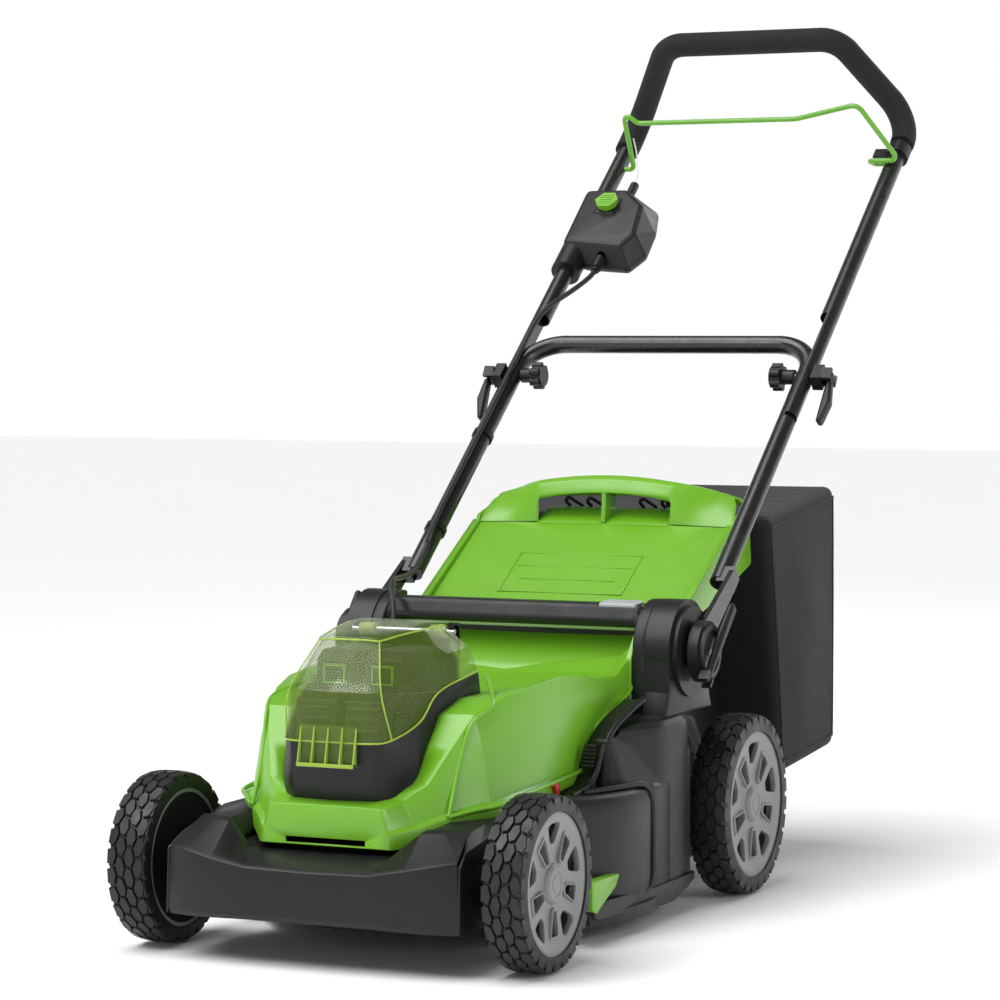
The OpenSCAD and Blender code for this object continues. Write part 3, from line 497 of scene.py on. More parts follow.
def tyre_piece(name, body, radius, to_point, replaced):
    """A tyre with polygon tread blocks in four staggered rows and blocks down the shoulders."""
    inner = radius * RIM_SHARE + 0.2
    base = radius - TREAD_DEPTH
    half = TYRE_W / 2
    carcass = [(inner, 0.3)]
    carcass += [(inner + (base - 3 - inner) * t, 0.3 + 1.2 * t ** 3) for t in (0.3, 0.6, 0.85)]
    carcass += [(base - 2.6, 2.2)]
    carcass += [(base + crown(v), half + v) for v in (-19, -14, -7, 0, 7, 14, 19)]
    carcass += [(base - 2.6, TYRE_W - 2.2)]
    carcass += [(inner + (base - 3 - inner) * t, TYRE_W - 0.3 - 1.2 * t ** 3) for t in (0.85, 0.6, 0.3)]
    carcass += [(inner, TYRE_W - 0.3), (inner - 0.5, TYRE_W - 2), (inner - 0.5, 2)]
    parts = [lathe(carcass, to_point, 120)]
    count = round(2 * math.pi * base / LUG_PITCH)
    pitch = 2 * math.pi * base / count
    for k in range(count):
        turn = 2 * math.pi * k / count
        for row in range(4):
            across = (row - 1.5) * ROW_PITCH
            stagger = 0.5 * pitch if row % 2 else 0
            slant = LUG_SLANT if row in (0, 3) else -LUG_SLANT
            cell = [(-0.5, -SHORT), (0, -TALL), (0.5, -SHORT), (0.5, SHORT), (0, TALL), (-0.5, SHORT)]
            shape = [(u * (pitch - GROOVE) + slant * v + stagger, across + v * 0.84) for u, v in cell]
            shape = [(u, max(-LUG_REACH, min(LUG_REACH, v))) for u, v in shape]
            parts.append(lug(base, turn, shape, to_point))
        for side, offset in ((-1, 0), (1, 0.5 * pitch)):
            reach = 0.36 * pitch
            section = ((base - 8.5, 22.1), (base + 0.2, 21.6), (base + 0.2, 19.5), (base - 8.5, 20))
            corners = [(r, u, half + side * v) for r, v in section for u in (-reach, reach)]
            points = []
            for r, u, w in corners:
                a = turn + (offset + u) / base
                points.append(to_point(r * math.cos(a), r * math.sin(a), w))
            parts.append((points, [(0, 1, 3, 2), (2, 3, 5, 4), (0, 2, 4, 6), (1, 7, 5, 3), (6, 7, 1, 0)]))
    points, faces = join_meshes(parts)
    return finished(name, points, faces, "tyre_rubber", body, replace=(replaced,), angle=35)


def rim_windows(r):
    """Flat outlines of the windows: five in the spokes and five wider ones between them."""
    shapes = []
    for k in range(5):
        turn = math.radians(72 * k + 90)
        spoke = [(0.37, -0.05), (0.37, 0.05), (0.73, 0.12), (0.73, -0.12)]
        between = [(0.56, -0.07), (0.56, 0.07), (0.80, 0.20), (0.85, 0.13), (0.85, -0.13), (0.80, -0.20)]
        for corners, extra in ((spoke, math.radians(36)), (between, 0)):
            c, s = math.cos(turn + extra), math.sin(turn + extra)
            flat = [((a * c - b * s) * r, (a * s + b * c) * r) for a, b in corners]
            shapes.append(rounded(flat, 3.2))
    return shapes


def rim_piece(name, body, radius, to_point, replaced):
    """A moulded rim: a dished face with windows, a lip, a barrel and a stepped hub cap."""
    r = radius * RIM_SHARE - 0.3
    face = [(0, TYRE_W - 6), (18, TYRE_W - 6), (r * 0.45, TYRE_W - 7.5), (r * 0.82, TYRE_W - 4.5),
            (r * 0.9, TYRE_W - 2.2), (r, TYRE_W - 2.2), (r, 1.5), (r - 4, 1.5), (r - 4, TYRE_W - 9),
            (r * 0.82, TYRE_W - 10), (r * 0.45, TYRE_W - 13), (0, TYRE_W - 13)]
    rows = []
    steps = 120
    for k in range(steps):
        turn = 2 * math.pi * k / steps
        rows.append([to_point(max(q, 0.4) * math.cos(turn), max(q, 0.4) * math.sin(turn), w) for q, w in face])
    rows.append(rows[0])
    disc = finished(name, *loft(rows, closed=True), "grey_rim", body, slot="grey_rim")
    cutter_parts = [prism(shape, TYRE_W - 22, TYRE_W + 6, to_point) for shape in rim_windows(r)]
    cutter = finished(name + "_cut", *join_meshes(cutter_parts), "grey_rim", body)
    add_cut(disc, cutter)
    add_bevel(disc, 0.0009, 2, 40)
    bake(disc)
    bpy.data.objects.remove(cutter)
    for polygon in disc.data.polygons:
        polygon.use_smooth = True
    disc.data.set_sharp_from_angle(angle=math.radians(35))
    if not disc.data.materials:
        disc.data.materials.append(FINISH["grey_rim"])
    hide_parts(replaced)
    # raised frames round the spoke windows, and the hub cap
    frames = []
    for index, shape in enumerate(rim_windows(r)):
        if index % 2 == 0:
            centre = Vector((sum(p[0] for p in shape) / len(shape), sum(p[1] for p in shape) / len(shape)))
            outer = [tuple(centre + (Vector(p) - centre) * 1.22) for p in shape]
            ring = []
            for outline, w in ((shape, TYRE_W - 9), (shape, TYRE_W - 3.2), (outer, TYRE_W - 3.6), (outer, TYRE_W - 9)):
                ring.append([to_point(u, v, w) for u, v in outline])
            frames.append(loft(ring + [ring[0]], closed=True))
    cap = [(0.2, TYRE_W - 1.6), (8, TYRE_W - 1.6), (9, TYRE_W - 2.4), (12, TYRE_W - 2.4), (13, TYRE_W - 1.2),
           (17, TYRE_W - 1.2), (19.5, TYRE_W - 3.4), (21.5, TYRE_W - 8), (21.5, TYRE_W - 12), (0.2, TYRE_W - 12)]
    frames.append(lathe(cap, to_point, 64))
    points, faces = join_meshes(frames)
    finished(name + "_relief", points, faces, "grey_rim", body, bevel=0.0006, angle=28)
    barrel = [(r - 4.2, 2), (r - 4.2, 3.5), (16, 8), (16, TYRE_W - 12), (12, TYRE_W - 12), (12, 6)]
    finished(name + "_inner", *lathe(barrel, to_point, 72), "smooth_black", body, slot="black_plastic")


for side, side_name in ((1, "left"), (-1, "right")):
    for end, y, radius, outer in (("front", 0, 89, 233), ("rear", WHEELBASE, 101.5, 237.5)):
        body_name = f"wheel_{end}_{side_name}"
        to_point = wheel_frame(side, y, radius, outer)
        tyre_piece(f"tyre_tread_{end}_{side_name}", body_name, radius, to_point, f"tyre_{end}_{side_name}")
        rim_piece(f"rim_face_{end}_{side_name}", body_name, radius, to_point, f"rim_{end}_{side_name}")

# ------------------------------------------------------------------ green cowl
COWL_STATIONS = [
    (-50, [(0, 160), (40, 160), (62, 159), (65, 148), (67, 137), (70, 134), (72, 119)]),
    (-44, [(0, 161), (44, 161), (66, 160), (69, 149), (72, 138), (76, 135), (78, 119)]),
    (-20, [(0, 165), (60, 166), (72, 165), (78, 152), (84, 141), (91, 138), (94, 121)]),
    (0, [(0, 178), (70, 180), (90, 179), (97, 164), (102, 149), (109, 146), (112, 131)]),
    (25, [(0, 200), (80, 216), (106, 216), (114, 192), (121, 156), (129, 152), (131, 140)]),
    (50, [(0, 236), (86, 246), (118, 246), (128, 212), (137, 159), (146, 154), (148, 143)]),
    (90, [(0, 250), (92, 259), (131, 260), (139, 222), (142, 163), (149, 158), (150, 147)]),
    (140, [(0, 250), (112, 262), (143, 268), (148, 228), (145, 166), (150, 161), (151, 150)]),
    (200, [(0, 250), (118, 262), (146, 273), (149, 230), (147, 169), (150, 164), (151, 154)]),
    (262, [(0, 250), (122, 258), (148, 268), (151, 232), (149, 174), (150, 169), (151, 159)]),
    (282, [(0, 250), (124, 256), (149, 264), (151, 238), (151, 222), (151, 212), (151, 205)]),
    (340, [(0, 252), (126, 255), (150, 261), (151, 250), (151, 235), (151, 228), (151, 222)]),
    (372, [(0, 256), (128, 262), (151, 276), (152, 266), (152, 252), (152, 244), (152, 236)]),
    (394, [(0, 262), (134, 278), (153, 296), (153, 288), (153, 276), (153, 268), (153, 258)]),
]


def cowl():
    """The cowl is a shell through cross-sections, cut away where the battery nose stands."""
    half = [[(x, y, z) for x, z in section] for y, section in COWL_STATIONS]
    rows = [[place(*p) for p in row] for row in mirrored(half)]
    points, faces = loft(rows)
    width = len(rows[0])
    faces.append(tuple(range(width)))
    hull = finished("cowl_shell", points, faces, "green_plastic", "chassis", bevel=0.0028, segments=3, thick=0.0028,
                    angle=16)
    plan = [(-29, 0), (-27, 44), (-14, 61), (4, 74.5), (46, 77.5), (137, 81)]
    plan = [(x, y) for y, x in plan] + [(-x, y) for y, x in reversed(plan) if x]
    cut_part = prism(plan, 158, 400, place)
    slot_part = box_part((-45, -70, 121), (45, -40, 127))
    cutter = finished("cowl_cut", *join_meshes([cut_part, slot_part]), "green_plastic", "chassis")
    add_cut(hull, cutter)
    bake(hull)
    bpy.data.objects.remove(cutter)
    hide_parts("motor_cowl")


cowl()
LIP = [(113, 2, 148), (131, 25, 153), (148, 50, 156), (150.5, 90, 160), (151.5, 140, 163), (151.5, 200, 166),
       (151.5, 246, 170), (152, 260, 178), (152, 270, 199), (152.5, 281, 213), (152.5, 300, 221), (152.5, 340, 229),
       (153, 372, 243), (154, 394, 260)]
RIDGE = [(112, 3, 148), (111.5, 20, 183), (113.5, 32, 212), (118, 45, 239), (126, 74, 253), (112, 104, 263),
         (92, 134, 277)]
for side, tag in SIDES:
    rope(f"cowl_lip_{tag}", [place(side * x, y, z) for x, y, z in LIP], 0.0026, "green_plastic", "chassis", sides=10,
         samples=5)
    rope(f"cowl_ridge_{tag}", [place(side * x, y, z) for x, y, z in RIDGE], 0.0024, "green_plastic", "chassis",
         sides=10, samples=6)
panel("cowl_back", [
    [(0, 378, 256), (118, 378, 258), (140, 384, 268), (151, 390, 288)],
    [(0, 392, 266), (119, 392, 268), (141, 396, 277), (152, 400, 293)],
    [(0, 424, 294), (121, 424, 295), (142, 426, 298), (152.5, 428, 304)],
    [(0, 438, 308), (121, 438, 308), (142, 438, 309), (152.5, 438, 310)],
], "green_plastic", "chassis", thick=0.0025, bevel=0.0015, angle=18)

# ------------------------------------------------------------------ battery nose: fascia and clear lid
PARTING = [(0, -41, 222), (45, -39, 222), (60, -20, 224.5), (73, 17, 240), (77, 52, 267), (84, 131, 282)]
panel("fascia_skin", [
    [(0, -31, 154), (46, -29, 154), (63, -16, 154), (77, 2, 168), (80, 46, 208), (84, 138, 256)],
    [(0, -36, 190), (46, -34, 190), (62, -18, 192), (76, 8, 207), (79, 49, 240), (84, 134, 274)],
    PARTING,
], "black_plastic", "chassis", thick=0.0028, bevel=0.0022, angle=18, replace=("front_fascia",))

LID_ROWS = [
    [(x, y, z + 0.5) for x, y, z in PARTING],
    [(0, -31, 272), (40, -30.5, 272), (52, -28, 272), (63, 16, 282), (69, 54, 299), (75, 127, 308)],
    [(0, 3, 322), (22, 3, 322), (34, 4, 321.5), (41, 36, 325), (48, 72, 328), (54, 110, 330.6)],
    [(0, 6, 325.5), (20, 6, 325.5), (30, 7, 325), (36, 37, 328.5), (43, 72, 331.5), (48, 110, 333.6)],
    [(0, 40, 328.5), (12, 40, 328.5), (20, 40, 328.4), (28, 50, 329.6), (34, 76, 332), (42, 115.5, 334.4)],
    [(0, 114, 334.6), (6, 114, 334.6), (12, 114, 334.6), (18, 114.4, 334.6), (26, 114.8, 334.6), (34, 115, 334.6)],
]
panel("lid_shell", LID_ROWS, "clear_lid", "lid", thick=0.0024, bevel=0.0016, angle=14, replace=("battery_lid",))
# thin rims along the lid's edges and corners carry the brighter lid copy, a painted highlight on the edges
for index, row in enumerate((LID_ROWS[0], LID_ROWS[2])):
    whole = [place(x * 1.006, y, z) for x, y, z in mirrored([row])[0]]
    rope(f"lid_rim_{index}", whole, 0.0011, "lid_edge", "lid", sides=8, samples=6, slot="clear_lid")
for side, tag in SIDES:
    edge_points = [place(side * LID_ROWS[r][2][0], LID_ROWS[r][2][1], LID_ROWS[r][2][2]) for r in (0, 1, 2)]
    rope(f"lid_corner_{tag}", edge_points, 0.0009, "lid_edge", "lid", sides=8, samples=6,
         slot="clear_lid")

plate = [side_part([(-44, 203), (-41.5, 201), (-40.5, 238), (-42, 240)], -32, 32)]
plate += [side_part([(-51, 199), (-40, 199), (-40, 201.5), (-51, 201.5)], -32, 32)]
finished("lid_latch", *join_meshes(plate), "clear_lid", "lid", bevel=0.0006, slot="clear_lid")
# the latch ribs and hinges carry the brighter lid copy, a painted highlight on the thick mouldings
ribs = [side_part([(-50.5, 202), (-44, 202), (-42, 238)], x, x + 1.6) for x in (-32, -17, -1, 15, 30.4)]
ribs += [side_part([(-51.5, 198), (-50, 198), (-50, 202), (-51.5, 202)], -32, 32)]
finished("lid_latch_ribs", *join_meshes(ribs), "lid_edge", "lid", bevel=0.0004, slot="clear_lid")
hinges = [lathe([(3.2, x0), (7, x0), (7, x0 + 18), (3.2, x0 + 18)],
                lambda u, v, w: place(w, LID_HINGE[0] + u, LID_HINGE[1] + v), 32) for x0 in (-50, 32)]
finished("lid_hinges", *join_meshes(hinges), "lid_edge", "lid", bevel=0.0005, slot="clear_lid")

# battery cases seen through the lid, with their grips and a green carrier behind
for side, tag in SIDES:
    x0, x1 = (4, 51) if side > 0 else (-51, -4)
    case = [side_part([(-14, 178), (120, 178), (120, 262), (20, 268), (-16, 262)], x0, x1)]
    case += [side_part([(20, 262), (118, 262), (118, 308), (38, 308), (26, 300)], x0 + 2, x1 - 2)]
    case += [box_part((x0 + 5, -20, 196 + 11 * k), (x1 - 5, -12, 201 + 11 * k)) for k in range(6)]
    finished(f"pack_case_{tag}", *join_meshes(case), "battery_case", "chassis", bevel=0.0022, segments=3,
             replace=("battery_packs",) if side > 0 else ())
    x2, x3 = x0 + 11, x1 - 11
    grip = [box_part((x2, 22, 274), (x3, 27, 276.5)), box_part((x2, 22, 292), (x3, 27, 294.5)),
            box_part((x2, 22, 274), (x2 + 2.5, 27, 294.5)), box_part((x3 - 2.5, 22, 274), (x3, 27, 294.5))]
    finished(f"pack_grip_{tag}", *join_meshes(grip), "green_plastic", "chassis", bevel=0.0006)
    button = [box_part((x2 + 3, 23, 277), (x3 - 3, 28, 291))]
    button += [box_part((x2 + 4, 22, 279 + 2.4 * k), (x3 - 4, 24, 280.2 + 2.4 * k)) for k in range(5)]
    finished(f"pack_button_{tag}", *join_meshes(button), "battery_case", "chassis", bevel=0.0004)
liner = [[(x * 0.95, y + 4, z) for x, y, z in row] for row in (
    [(0, -31, 172), (46, -29, 172), (63, -16, 172), (77, 2, 184), (80, 46, 216), (84, 134, 262)],
    [(0, -36, 212), (46, -34, 212), (60, -18, 213), (73, 12, 228), (77, 50, 254), (84, 131, 274)])]
panel("bay_liner", liner, "smooth_black", "chassis", thick=0.0015)
carrier = [side_part([(133, 246), (136, 246), (143, 262), (143, 314), (140, 322), (138, 320), (138, 300), (138, 264)],
                     -58, 58)]
carrier += [side_part([(124.5, 304), (141, 290), (141, 328), (128, 331), (124.5, 326)], x, x + 5) for x in (-58, 53)]
finished("lid_bulkhead", *join_meshes(carrier), "green_plastic", "chassis", bevel=0.0012)

# ------------------------------------------------------------------ front bumper and deck mouldings
panel("bumper_skin", [
    [(0, -92, 46), (68, -90, 46), (107, -89, 45), (140, -84, 44), (161, -79, 44)],
    [(0, -97, 52), (68, -95, 52), (107, -94, 50), (141, -89, 50), (163.5, -82, 50)],
    [(0, -96, 98), (68, -95, 99), (107, -95, 106), (138, -88, 112), (161, -80, 116)],
    [(0, -90, 101), (70, -89, 102.5), (108, -90, 109), (138, -83, 114.5), (160, -75, 118)],
    [(0, -50, 112), (88, -48, 113), (108, -54, 139), (130, -46, 139), (152, -38, 137)],
    [(0, -42, 112), (90, -40, 113), (111, -44, 142), (131, -36, 142), (152, -28, 141)],
], "black_plastic", "chassis", thick=0.003, bevel=0.0026, angle=14, replace=("front_bumper",))
panel("bumper_tray", [
    [(0, -44, 111), (88, -44, 111), (108, -44, 116)],
    [(0, -10, 114), (88, -10, 116), (110, -8, 120)],
    [(0, 60, 118), (88, 60, 120), (118, 60, 130)],
], "black_plastic", "chassis", thick=0.002)
for side, tag in SIDES:
    arm = [[(side * x, y, z) for x, y, z in row] for row in (
        [(104, -46, 60), (104, 118, 60)],
        [(104, -48, 118), (104, 118, 146)],
        [(112, -44, 140), (112, 122, 150)],
        [(150, -36, 138), (140, 118, 150)],
        [(161, -60, 124), (164, 34, 142)],
        [(164.5, -80, 112), (165, 60, 128)],
        [(165, -83, 46), (165, 70, 46)],
    )]
    fine = []
    for row in arm:
        a, b = Vector(row[0]), Vector(row[-1])
        fine.append([tuple(a.lerp(b, t)) for t in (0, 0.33, 0.66, 1)])
    panel(f"deck_arm_{tag}", fine, "black_plastic", "chassis", both=False, thick=0.003, bevel=0.002, angle=20)

# side pods: a tall moulding that rises from the skirt to the handle bracket
POD_PLAN = [(150, 222), (160, 230), (172, 250), (184, 277), (195, 303), (203, 320), (207.5, 334), (209, 352),
            (209.5, 380), (209, 402), (206, 413), (200, 421), (190, 430), (184.5, 442), (184, 470), (184, 540)]
POD_CAP = [(222, 148), (230, 156), (250, 186), (277, 210), (303, 217)]
POD_TOP = 217
POD_BORDER = [(178, 188, 154), (188, 205, 154.5), (199, 240, 155), (205, 270, 155), (208, 288, 150),
              (209.5, 297, 138), (210, 300, 120), (210.5, 300, 80), (210.5, 299, 56), (210, 292, 44),
              (209, 278, 39), (206, 250, 37)]
POD_FIN = [(186, 330, 238), (183, 300, 228), (178, 268, 212), (174, 246, 190), (172, 234, 168), (170, 216, 156),
           (169, 180, 150)]
CHAMBER_R = 212.5
CHAMBER_Y = 265
POD_LEVELS = [(30, 1.5), (38, 0), (120, 0), (196, 1), (208, 3), (214, 8), (217, 16)]


def pod_wall(side):
    """Rows of the pod, following its plan at each level and closing over the top."""
    rows = []
    for z, inset in POD_LEVELS:
        row = []
        for i, (x, y) in enumerate(POD_PLAN):
            before, after = POD_PLAN[max(i - 1, 0)], POD_PLAN[min(i + 1, len(POD_PLAN) - 1)]
            along = Vector((after[0] - before[0], after[1] - before[1])).normalized()
            foot = max(0, (y - 340)) * 0.16 if z < 40 and y < 432 else (max(0, y - 432) * 0.42 + 14 if z < 40 else 0)
            fall = max(0, y - 452) * 0.85 if z > 150 else 0
            cap = next((a + (b - a) * (y - p) / (q - p) for (p, a), (q, b) in zip(POD_CAP, POD_CAP[1:]) if y <= q),
                       POD_TOP)
            row.append((side * (x - along.y * inset), y + along.x * inset, min(z, cap) + foot - fall))
        rows.append(row)
    rows.append([(side * 158, y, z) for _, y, z in rows[-1]])
    return rows


for side, tag in SIDES:
    panel(f"side_pod_{tag}", pod_wall(side), "black_plastic", "chassis", both=False, thick=0.003, bevel=0.002, angle=26)
    # chamber side that bulges in front of the pod, with a raised border round it
    bulge = []
    for z, inset in ((42, 0), (60, 0), (134, 0), (146, 2.5), (151, 8), (152.5, 20)):
        r = CHAMBER_R - inset
        bulge.append([(side * r * math.cos(a), CHAMBER_Y + r * math.sin(a), z)
                      for a in (math.radians(-40 + 3.3 * k) for k in range(16))])
    panel(f"chamber_side_{tag}", bulge, "black_plastic", "chassis", both=False, thick=0.0022, bevel=0.001, angle=40)
    rope(f"pod_border_{tag}", [place(side * x, y, z) for x, y, z in POD_BORDER], 0.0032, "black_plastic", "chassis",
         sides=12, samples=5)
    filler = [[(side * x, y, z) for x, y in ((184, 277), (196, 290), (208, 300), (209.5, 318), (209, 352))]
              for z in (34, 80, 120, 146, 158)]
    filler[-1] = [(side * (abs(x) - 12), y + 8, z) for x, y, z in filler[-1]]
    panel(f"pod_corner_{tag}", filler, "black_plastic", "chassis", both=False, thick=0.002, bevel=0.002, angle=40)
    skirt = [(140, 33), (150, 28), (330, 17), (362, 17), (418, 33), (418, 42), (300, 40), (140, 46)]
    finished(f"deck_sill_{tag}", *side_part(skirt, side * 190, side * 211.5), "black_plastic", "chassis", bevel=0.002,
             segments=3)
    rope(f"pod_fin_{tag}", [place(side * x, y, z) for x, y, z in POD_FIN], 0.0034, "black_plastic", "chassis", sides=10,
         samples=5)
    channel = [[(side * (x - inset), y + inset * 0.25, z - 1) for x, y, z in POD_FIN] for inset in (0, 8, 16, 24)]
    panel(f"pod_channel_{tag}", channel, "smooth_black", "chassis", both=False, thick=0.002)
    steps = [side_part([(y, z), (y + 7, z), (y + 7, z + 2), (y, z + 2)], side * 158, side * 170)
             for y, z in ((236 - 1.6 * k, 196 - 4 * k) for k in range(6))]
    finished(f"height_marks_{tag}", *join_meshes(steps), "battery_case", "chassis",
             replace=("height_scale",) if side > 0 else ())
    comb = rounded([(134, 40), (146, 35), (160, 42), (196, 57), (206, 69), (134, 70)], 3, 2)
    finished(f"comb_body_{tag}", *side_part(comb, side * 199, side * 212), "green_plastic", "chassis", bevel=0.0015,
             replace=("lawn_combs",) if side > 0 else ())
    bristles = [side_part([(y, 24), (y + 1.4, 24), (y + 2.4, 40), (y, 40)], side * 203, side * 208)
                for y in (137, 140.5, 144, 147.5)]
    finished(f"comb_bristles_{tag}", *join_meshes(bristles), "battery_case", "chassis")
CHEEK_R = 56.5
for side, tag in SIDES:
    arc = [(HUB[0] + CHEEK_R * math.cos(a), HUB[1] + CHEEK_R * math.sin(a))
           for a in (math.radians(76 + 8.5 * k) for k in range(13))]
    cheek = arc + [(373, 214), (446, 214)]
    finished(f"bracket_cheek_{tag}", *side_part(cheek, side * 153.6, side * 168.6), "black_plastic", "chassis",
             bevel=0.002, segments=3)
    foot = [(364, 214), (500, 214), (492, 232), (486, 256), (378, 256), (372, 236)]
    finished(f"bracket_foot_{tag}", *side_part(foot, side * 168.2, side * 199), "black_plastic", "chassis",
             bevel=0.003, segments=3)
    wing = rounded([(372, 232), (394, 256), (416, 258), (420, 300), (417, 318), (408, 316), (392, 298), (372, 276)],
                   5, 3)
    finished(f"cowl_wing_{tag}", *side_part(wing, side * 147.5, side * 153.4), "green_plastic", "chassis",
             bevel=0.0015, segments=3)
red_tab = [box_part((146, 170, 150), (156, 178, 162)), box_part((147, 168, 158), (155, 180, 164))]
finished("red_tab", *join_meshes(red_tab), "red_plastic", "chassis", bevel=0.001)

# ------------------------------------------------------------------ rear flap
FLAP_HALF = 163
FLAP_SLOPE = math.radians(31)


def flap():
    """A curved panel with a rolled border, an upright hand rest and a crowned top."""
    xs = [0, 20, 40, 60, 82, 90, 110, 130, 146, 158, FLAP_HALF]

    def ease(x):
        t = max(0, min(1, (x - 84) / 62))
        return t * t * (3 - 2 * t)

    def row(y, z, lift=0, lean=0, width=1.0):
        return [(x * (1 + (width - 1) * ease(x)), y + lean * ease(x), z + lift * (1 - (x / FLAP_HALF) ** 2))
                for x in xs]

    panel_rows = [row(459, 287.5), row(470, 297, 2), row(520, 327, 4), row(580, 363, 5), row(640, 399, 4),
                  row(651, 405.5, 2)]
    panel("flap_panel", panel_rows, "green_plastic", "flap", thick=0.003, bevel=0.0015, angle=25,
          replace=("rear_flap",))
    crown_rows = [row(652, 406, 2), row(654.5, 419, 5, 13, 0.985), row(656, 431, 13, 27, 0.96),
                  row(661, 436, 22, 31, 0.93), row(670, 438, 25, 25, 0.92), row(684, 439, 22, 14, 0.93),
                  row(697, 437, 15, 4, 0.96), row(705, 429, 10, 0, 0.985)]
    crest = panel("flap_crest", crown_rows, "green_plastic", "flap", thick=0.003, bevel=0.0015, angle=25)
    for side in (-1, 1):
        corners = [(2.5, 407), (84, 407), (85, 434), (60, 438.5), (30, 441.5), (2.5, 442.5)]
        outline = [(side * x, z) for x, z in rounded(corners, 3)]
        block = prism(outline, 630, 664.5, lambda x, z, y: place(x, y, z))
        cutter = finished("flap_cut", *block, "green_plastic", "flap")
        add_cut(crest, cutter)
        bake(crest)
        bpy.data.objects.remove(cutter)
    shelf = [[(x, y, z) for x in (0, 30, 60, 86)] for y, z in ((652, 406.5), (668, 414), (684, 421), (692, 424))]
    panel("flap_shelf", shelf, "green_plastic", "flap", thick=0.0025, bevel=0.001)
    finished("flap_web", *side_part([(655, 405), (690, 422), (690, 445), (668, 458), (658, 448)], -1.3, 1.3),
             "green_plastic", "flap", bevel=0.0005)
    # side walls
    walls = []
    for side in (-1, 1):
        outline = [(452, 282), (459, 292), (560, 353), (650, 406), (654, 414), (690, 424), (704, 420), (712, 360),
                   (600, 325), (500, 300)]
        walls.append(side_part(rounded(outline, 4, 2), side * 160.5, side * 165))
        rim = [(456, 290), (650, 403), (648, 409), (454, 296)]
        walls.append(side_part(rim, side * 158, side * 167))
    finished("flap_sides", *join_meshes(walls), "green_plastic", "flap", bevel=0.0012)
    # blank raised panel border where the real one carries a pictogram sheet
    c, s = math.cos(FLAP_SLOPE), math.sin(FLAP_SLOPE)

    def on_panel(u, v, w):
        return place(u, 456 + v * c - w * s, 286 + v * s + w * c)

    strips = []
    for x0, x1, v0, v1 in ((-78, 78, 82, 84), (-78, 78, 160, 162), (-78, -76, 84, 160), (76, 78, 84, 160),
                           (-60, 60, 108, 109), (-72, 72, 134, 135)):
        strips.append(prism([(x0, v0), (x1, v0), (x1, v1), (x0, v1)], 3.5, 6.7 - 0.006 * abs(x0 + x1) / 2, on_panel))
    finished("flap_border", *join_meshes(strips), "green_plastic", "flap", bevel=0.0004)
    barrels = [lathe([(4.3, x0), (8, x0), (8, x0 + 30), (4.3, x0 + 30)],
                     lambda u, v, w: place(w, FLAP_HINGE[0] + u, FLAP_HINGE[1] + v), 32) for x0 in (-150, 20, 120)]
    finished("flap_barrels", *join_meshes(barrels), "green_plastic", "flap", bevel=0.0006)
    # dark straps of the bag seen through the hand openings
    for k, x in enumerate((-62, -34, 34, 62)):
        strap = [(x - 8, 716, 424), (x - 6, 700, 430), (x, 694, 434), (x + 6, 700, 430), (x + 8, 716, 424)]
        rope(f"bag_strap_{k}", [place(*p) for p in strap], 0.0022, "bag_piping", "bag", sides=8, slot="bag_fabric")


flap()

# ------------------------------------------------------------------ grass bag
BAG_HALF = 188
BAG_SIDE = [(716, 415), (952, 443), (955, 121), (764, 105)]


def bag():
    """A sewn fabric box: crowned faces, rounded corners, piping along the seams."""
    across, along, up = 24, 16, 20
    grid = {}

    def corner(u, v):
        front = Vector(BAG_SIDE[3]).lerp(Vector(BAG_SIDE[0]), v)
        back = Vector(BAG_SIDE[2]).lerp(Vector(BAG_SIDE[1]), v)
        return front.lerp(back, u)
    points, faces = [], []

    def vertex(x, u, v):
        key = (round(x, 5), round(u, 5), round(v, 5))
        if key not in grid:
            p = corner(u, v)
            bulge_x = 5.0 * math.sin(math.pi * u) * math.sin(math.pi * v)
            bulge_u = 5.0 * math.cos(math.pi * x / 2) * math.sin(math.pi * v)
            sag = -5.0 * math.cos(math.pi * x / 2) * math.sin(math.pi * u)
            px = x * (BAG_HALF - 4.5) + x ** 7 * bulge_x
            py = p[0] + (bulge_u * max(0, u - 0.5) * 2)
            pz = p[1] + sag * (1 if v > 0.5 else 0.6) * abs(2 * v - 1) ** 3
            wrinkle = 1.3 * math.sin(9 * u + 5 * v) * math.sin(7 * v + 3 * x) \
                * math.sin(math.pi * u) * math.sin(math.pi * v)
            points.append(place(px + wrinkle * (1 if x > 0 else -1) * abs(x) ** 7, py, pz))
            grid[key] = len(points) - 1
        return grid[key]

    def side(fixed, n, m, pick):
        for i in range(n):
            for j in range(m):
                quad = [pick(fixed, a / n, b / m) for a, b in ((i, j), (i + 1, j), (i + 1, j + 1), (i, j + 1))]
                faces.append(tuple(vertex(*q) for q in quad))
    for x in (-1, 1):
        side(x, along, up, lambda f, a, b: (f, a, b))
    for u in (0, 1):
        side(u, across, up, lambda f, a, b: (a * 2 - 1, f, b))
    for v in (0, 1):
        side(v, across, along, lambda f, a, b: (a * 2 - 1, b, f))
    finished("bag_cloth", points, faces, "bag_fabric", "bag", bevel=0.012, segments=4, angle=40,
             replace=("grass_bag",))
    middle = Vector((sum(p[0] for p in BAG_SIDE) / 4, sum(p[1] for p in BAG_SIDE) / 4))
    inner = [tuple(Vector(p) + (middle - Vector(p)).normalized() * 17) for p in BAG_SIDE]
    for s, tag in SIDES:
        loop = []
        for a, b in zip(inner, inner[1:] + inner[:1]):
            for t in (0.02, 0.25, 0.5, 0.75, 0.98):
                bow = math.sin(math.pi * t) * 0.6
                loop.append(place(s * (BAG_HALF - 4.6 + bow), a[0] + (b[0] - a[0]) * t, a[1] + (b[1] - a[1]) * t))
        loop.append(loop[0])
        rope(f"bag_seam_{tag}", loop, 0.0014, "bag_piping", "bag", sides=8, samples=4, slot="bag_fabric")


bag()

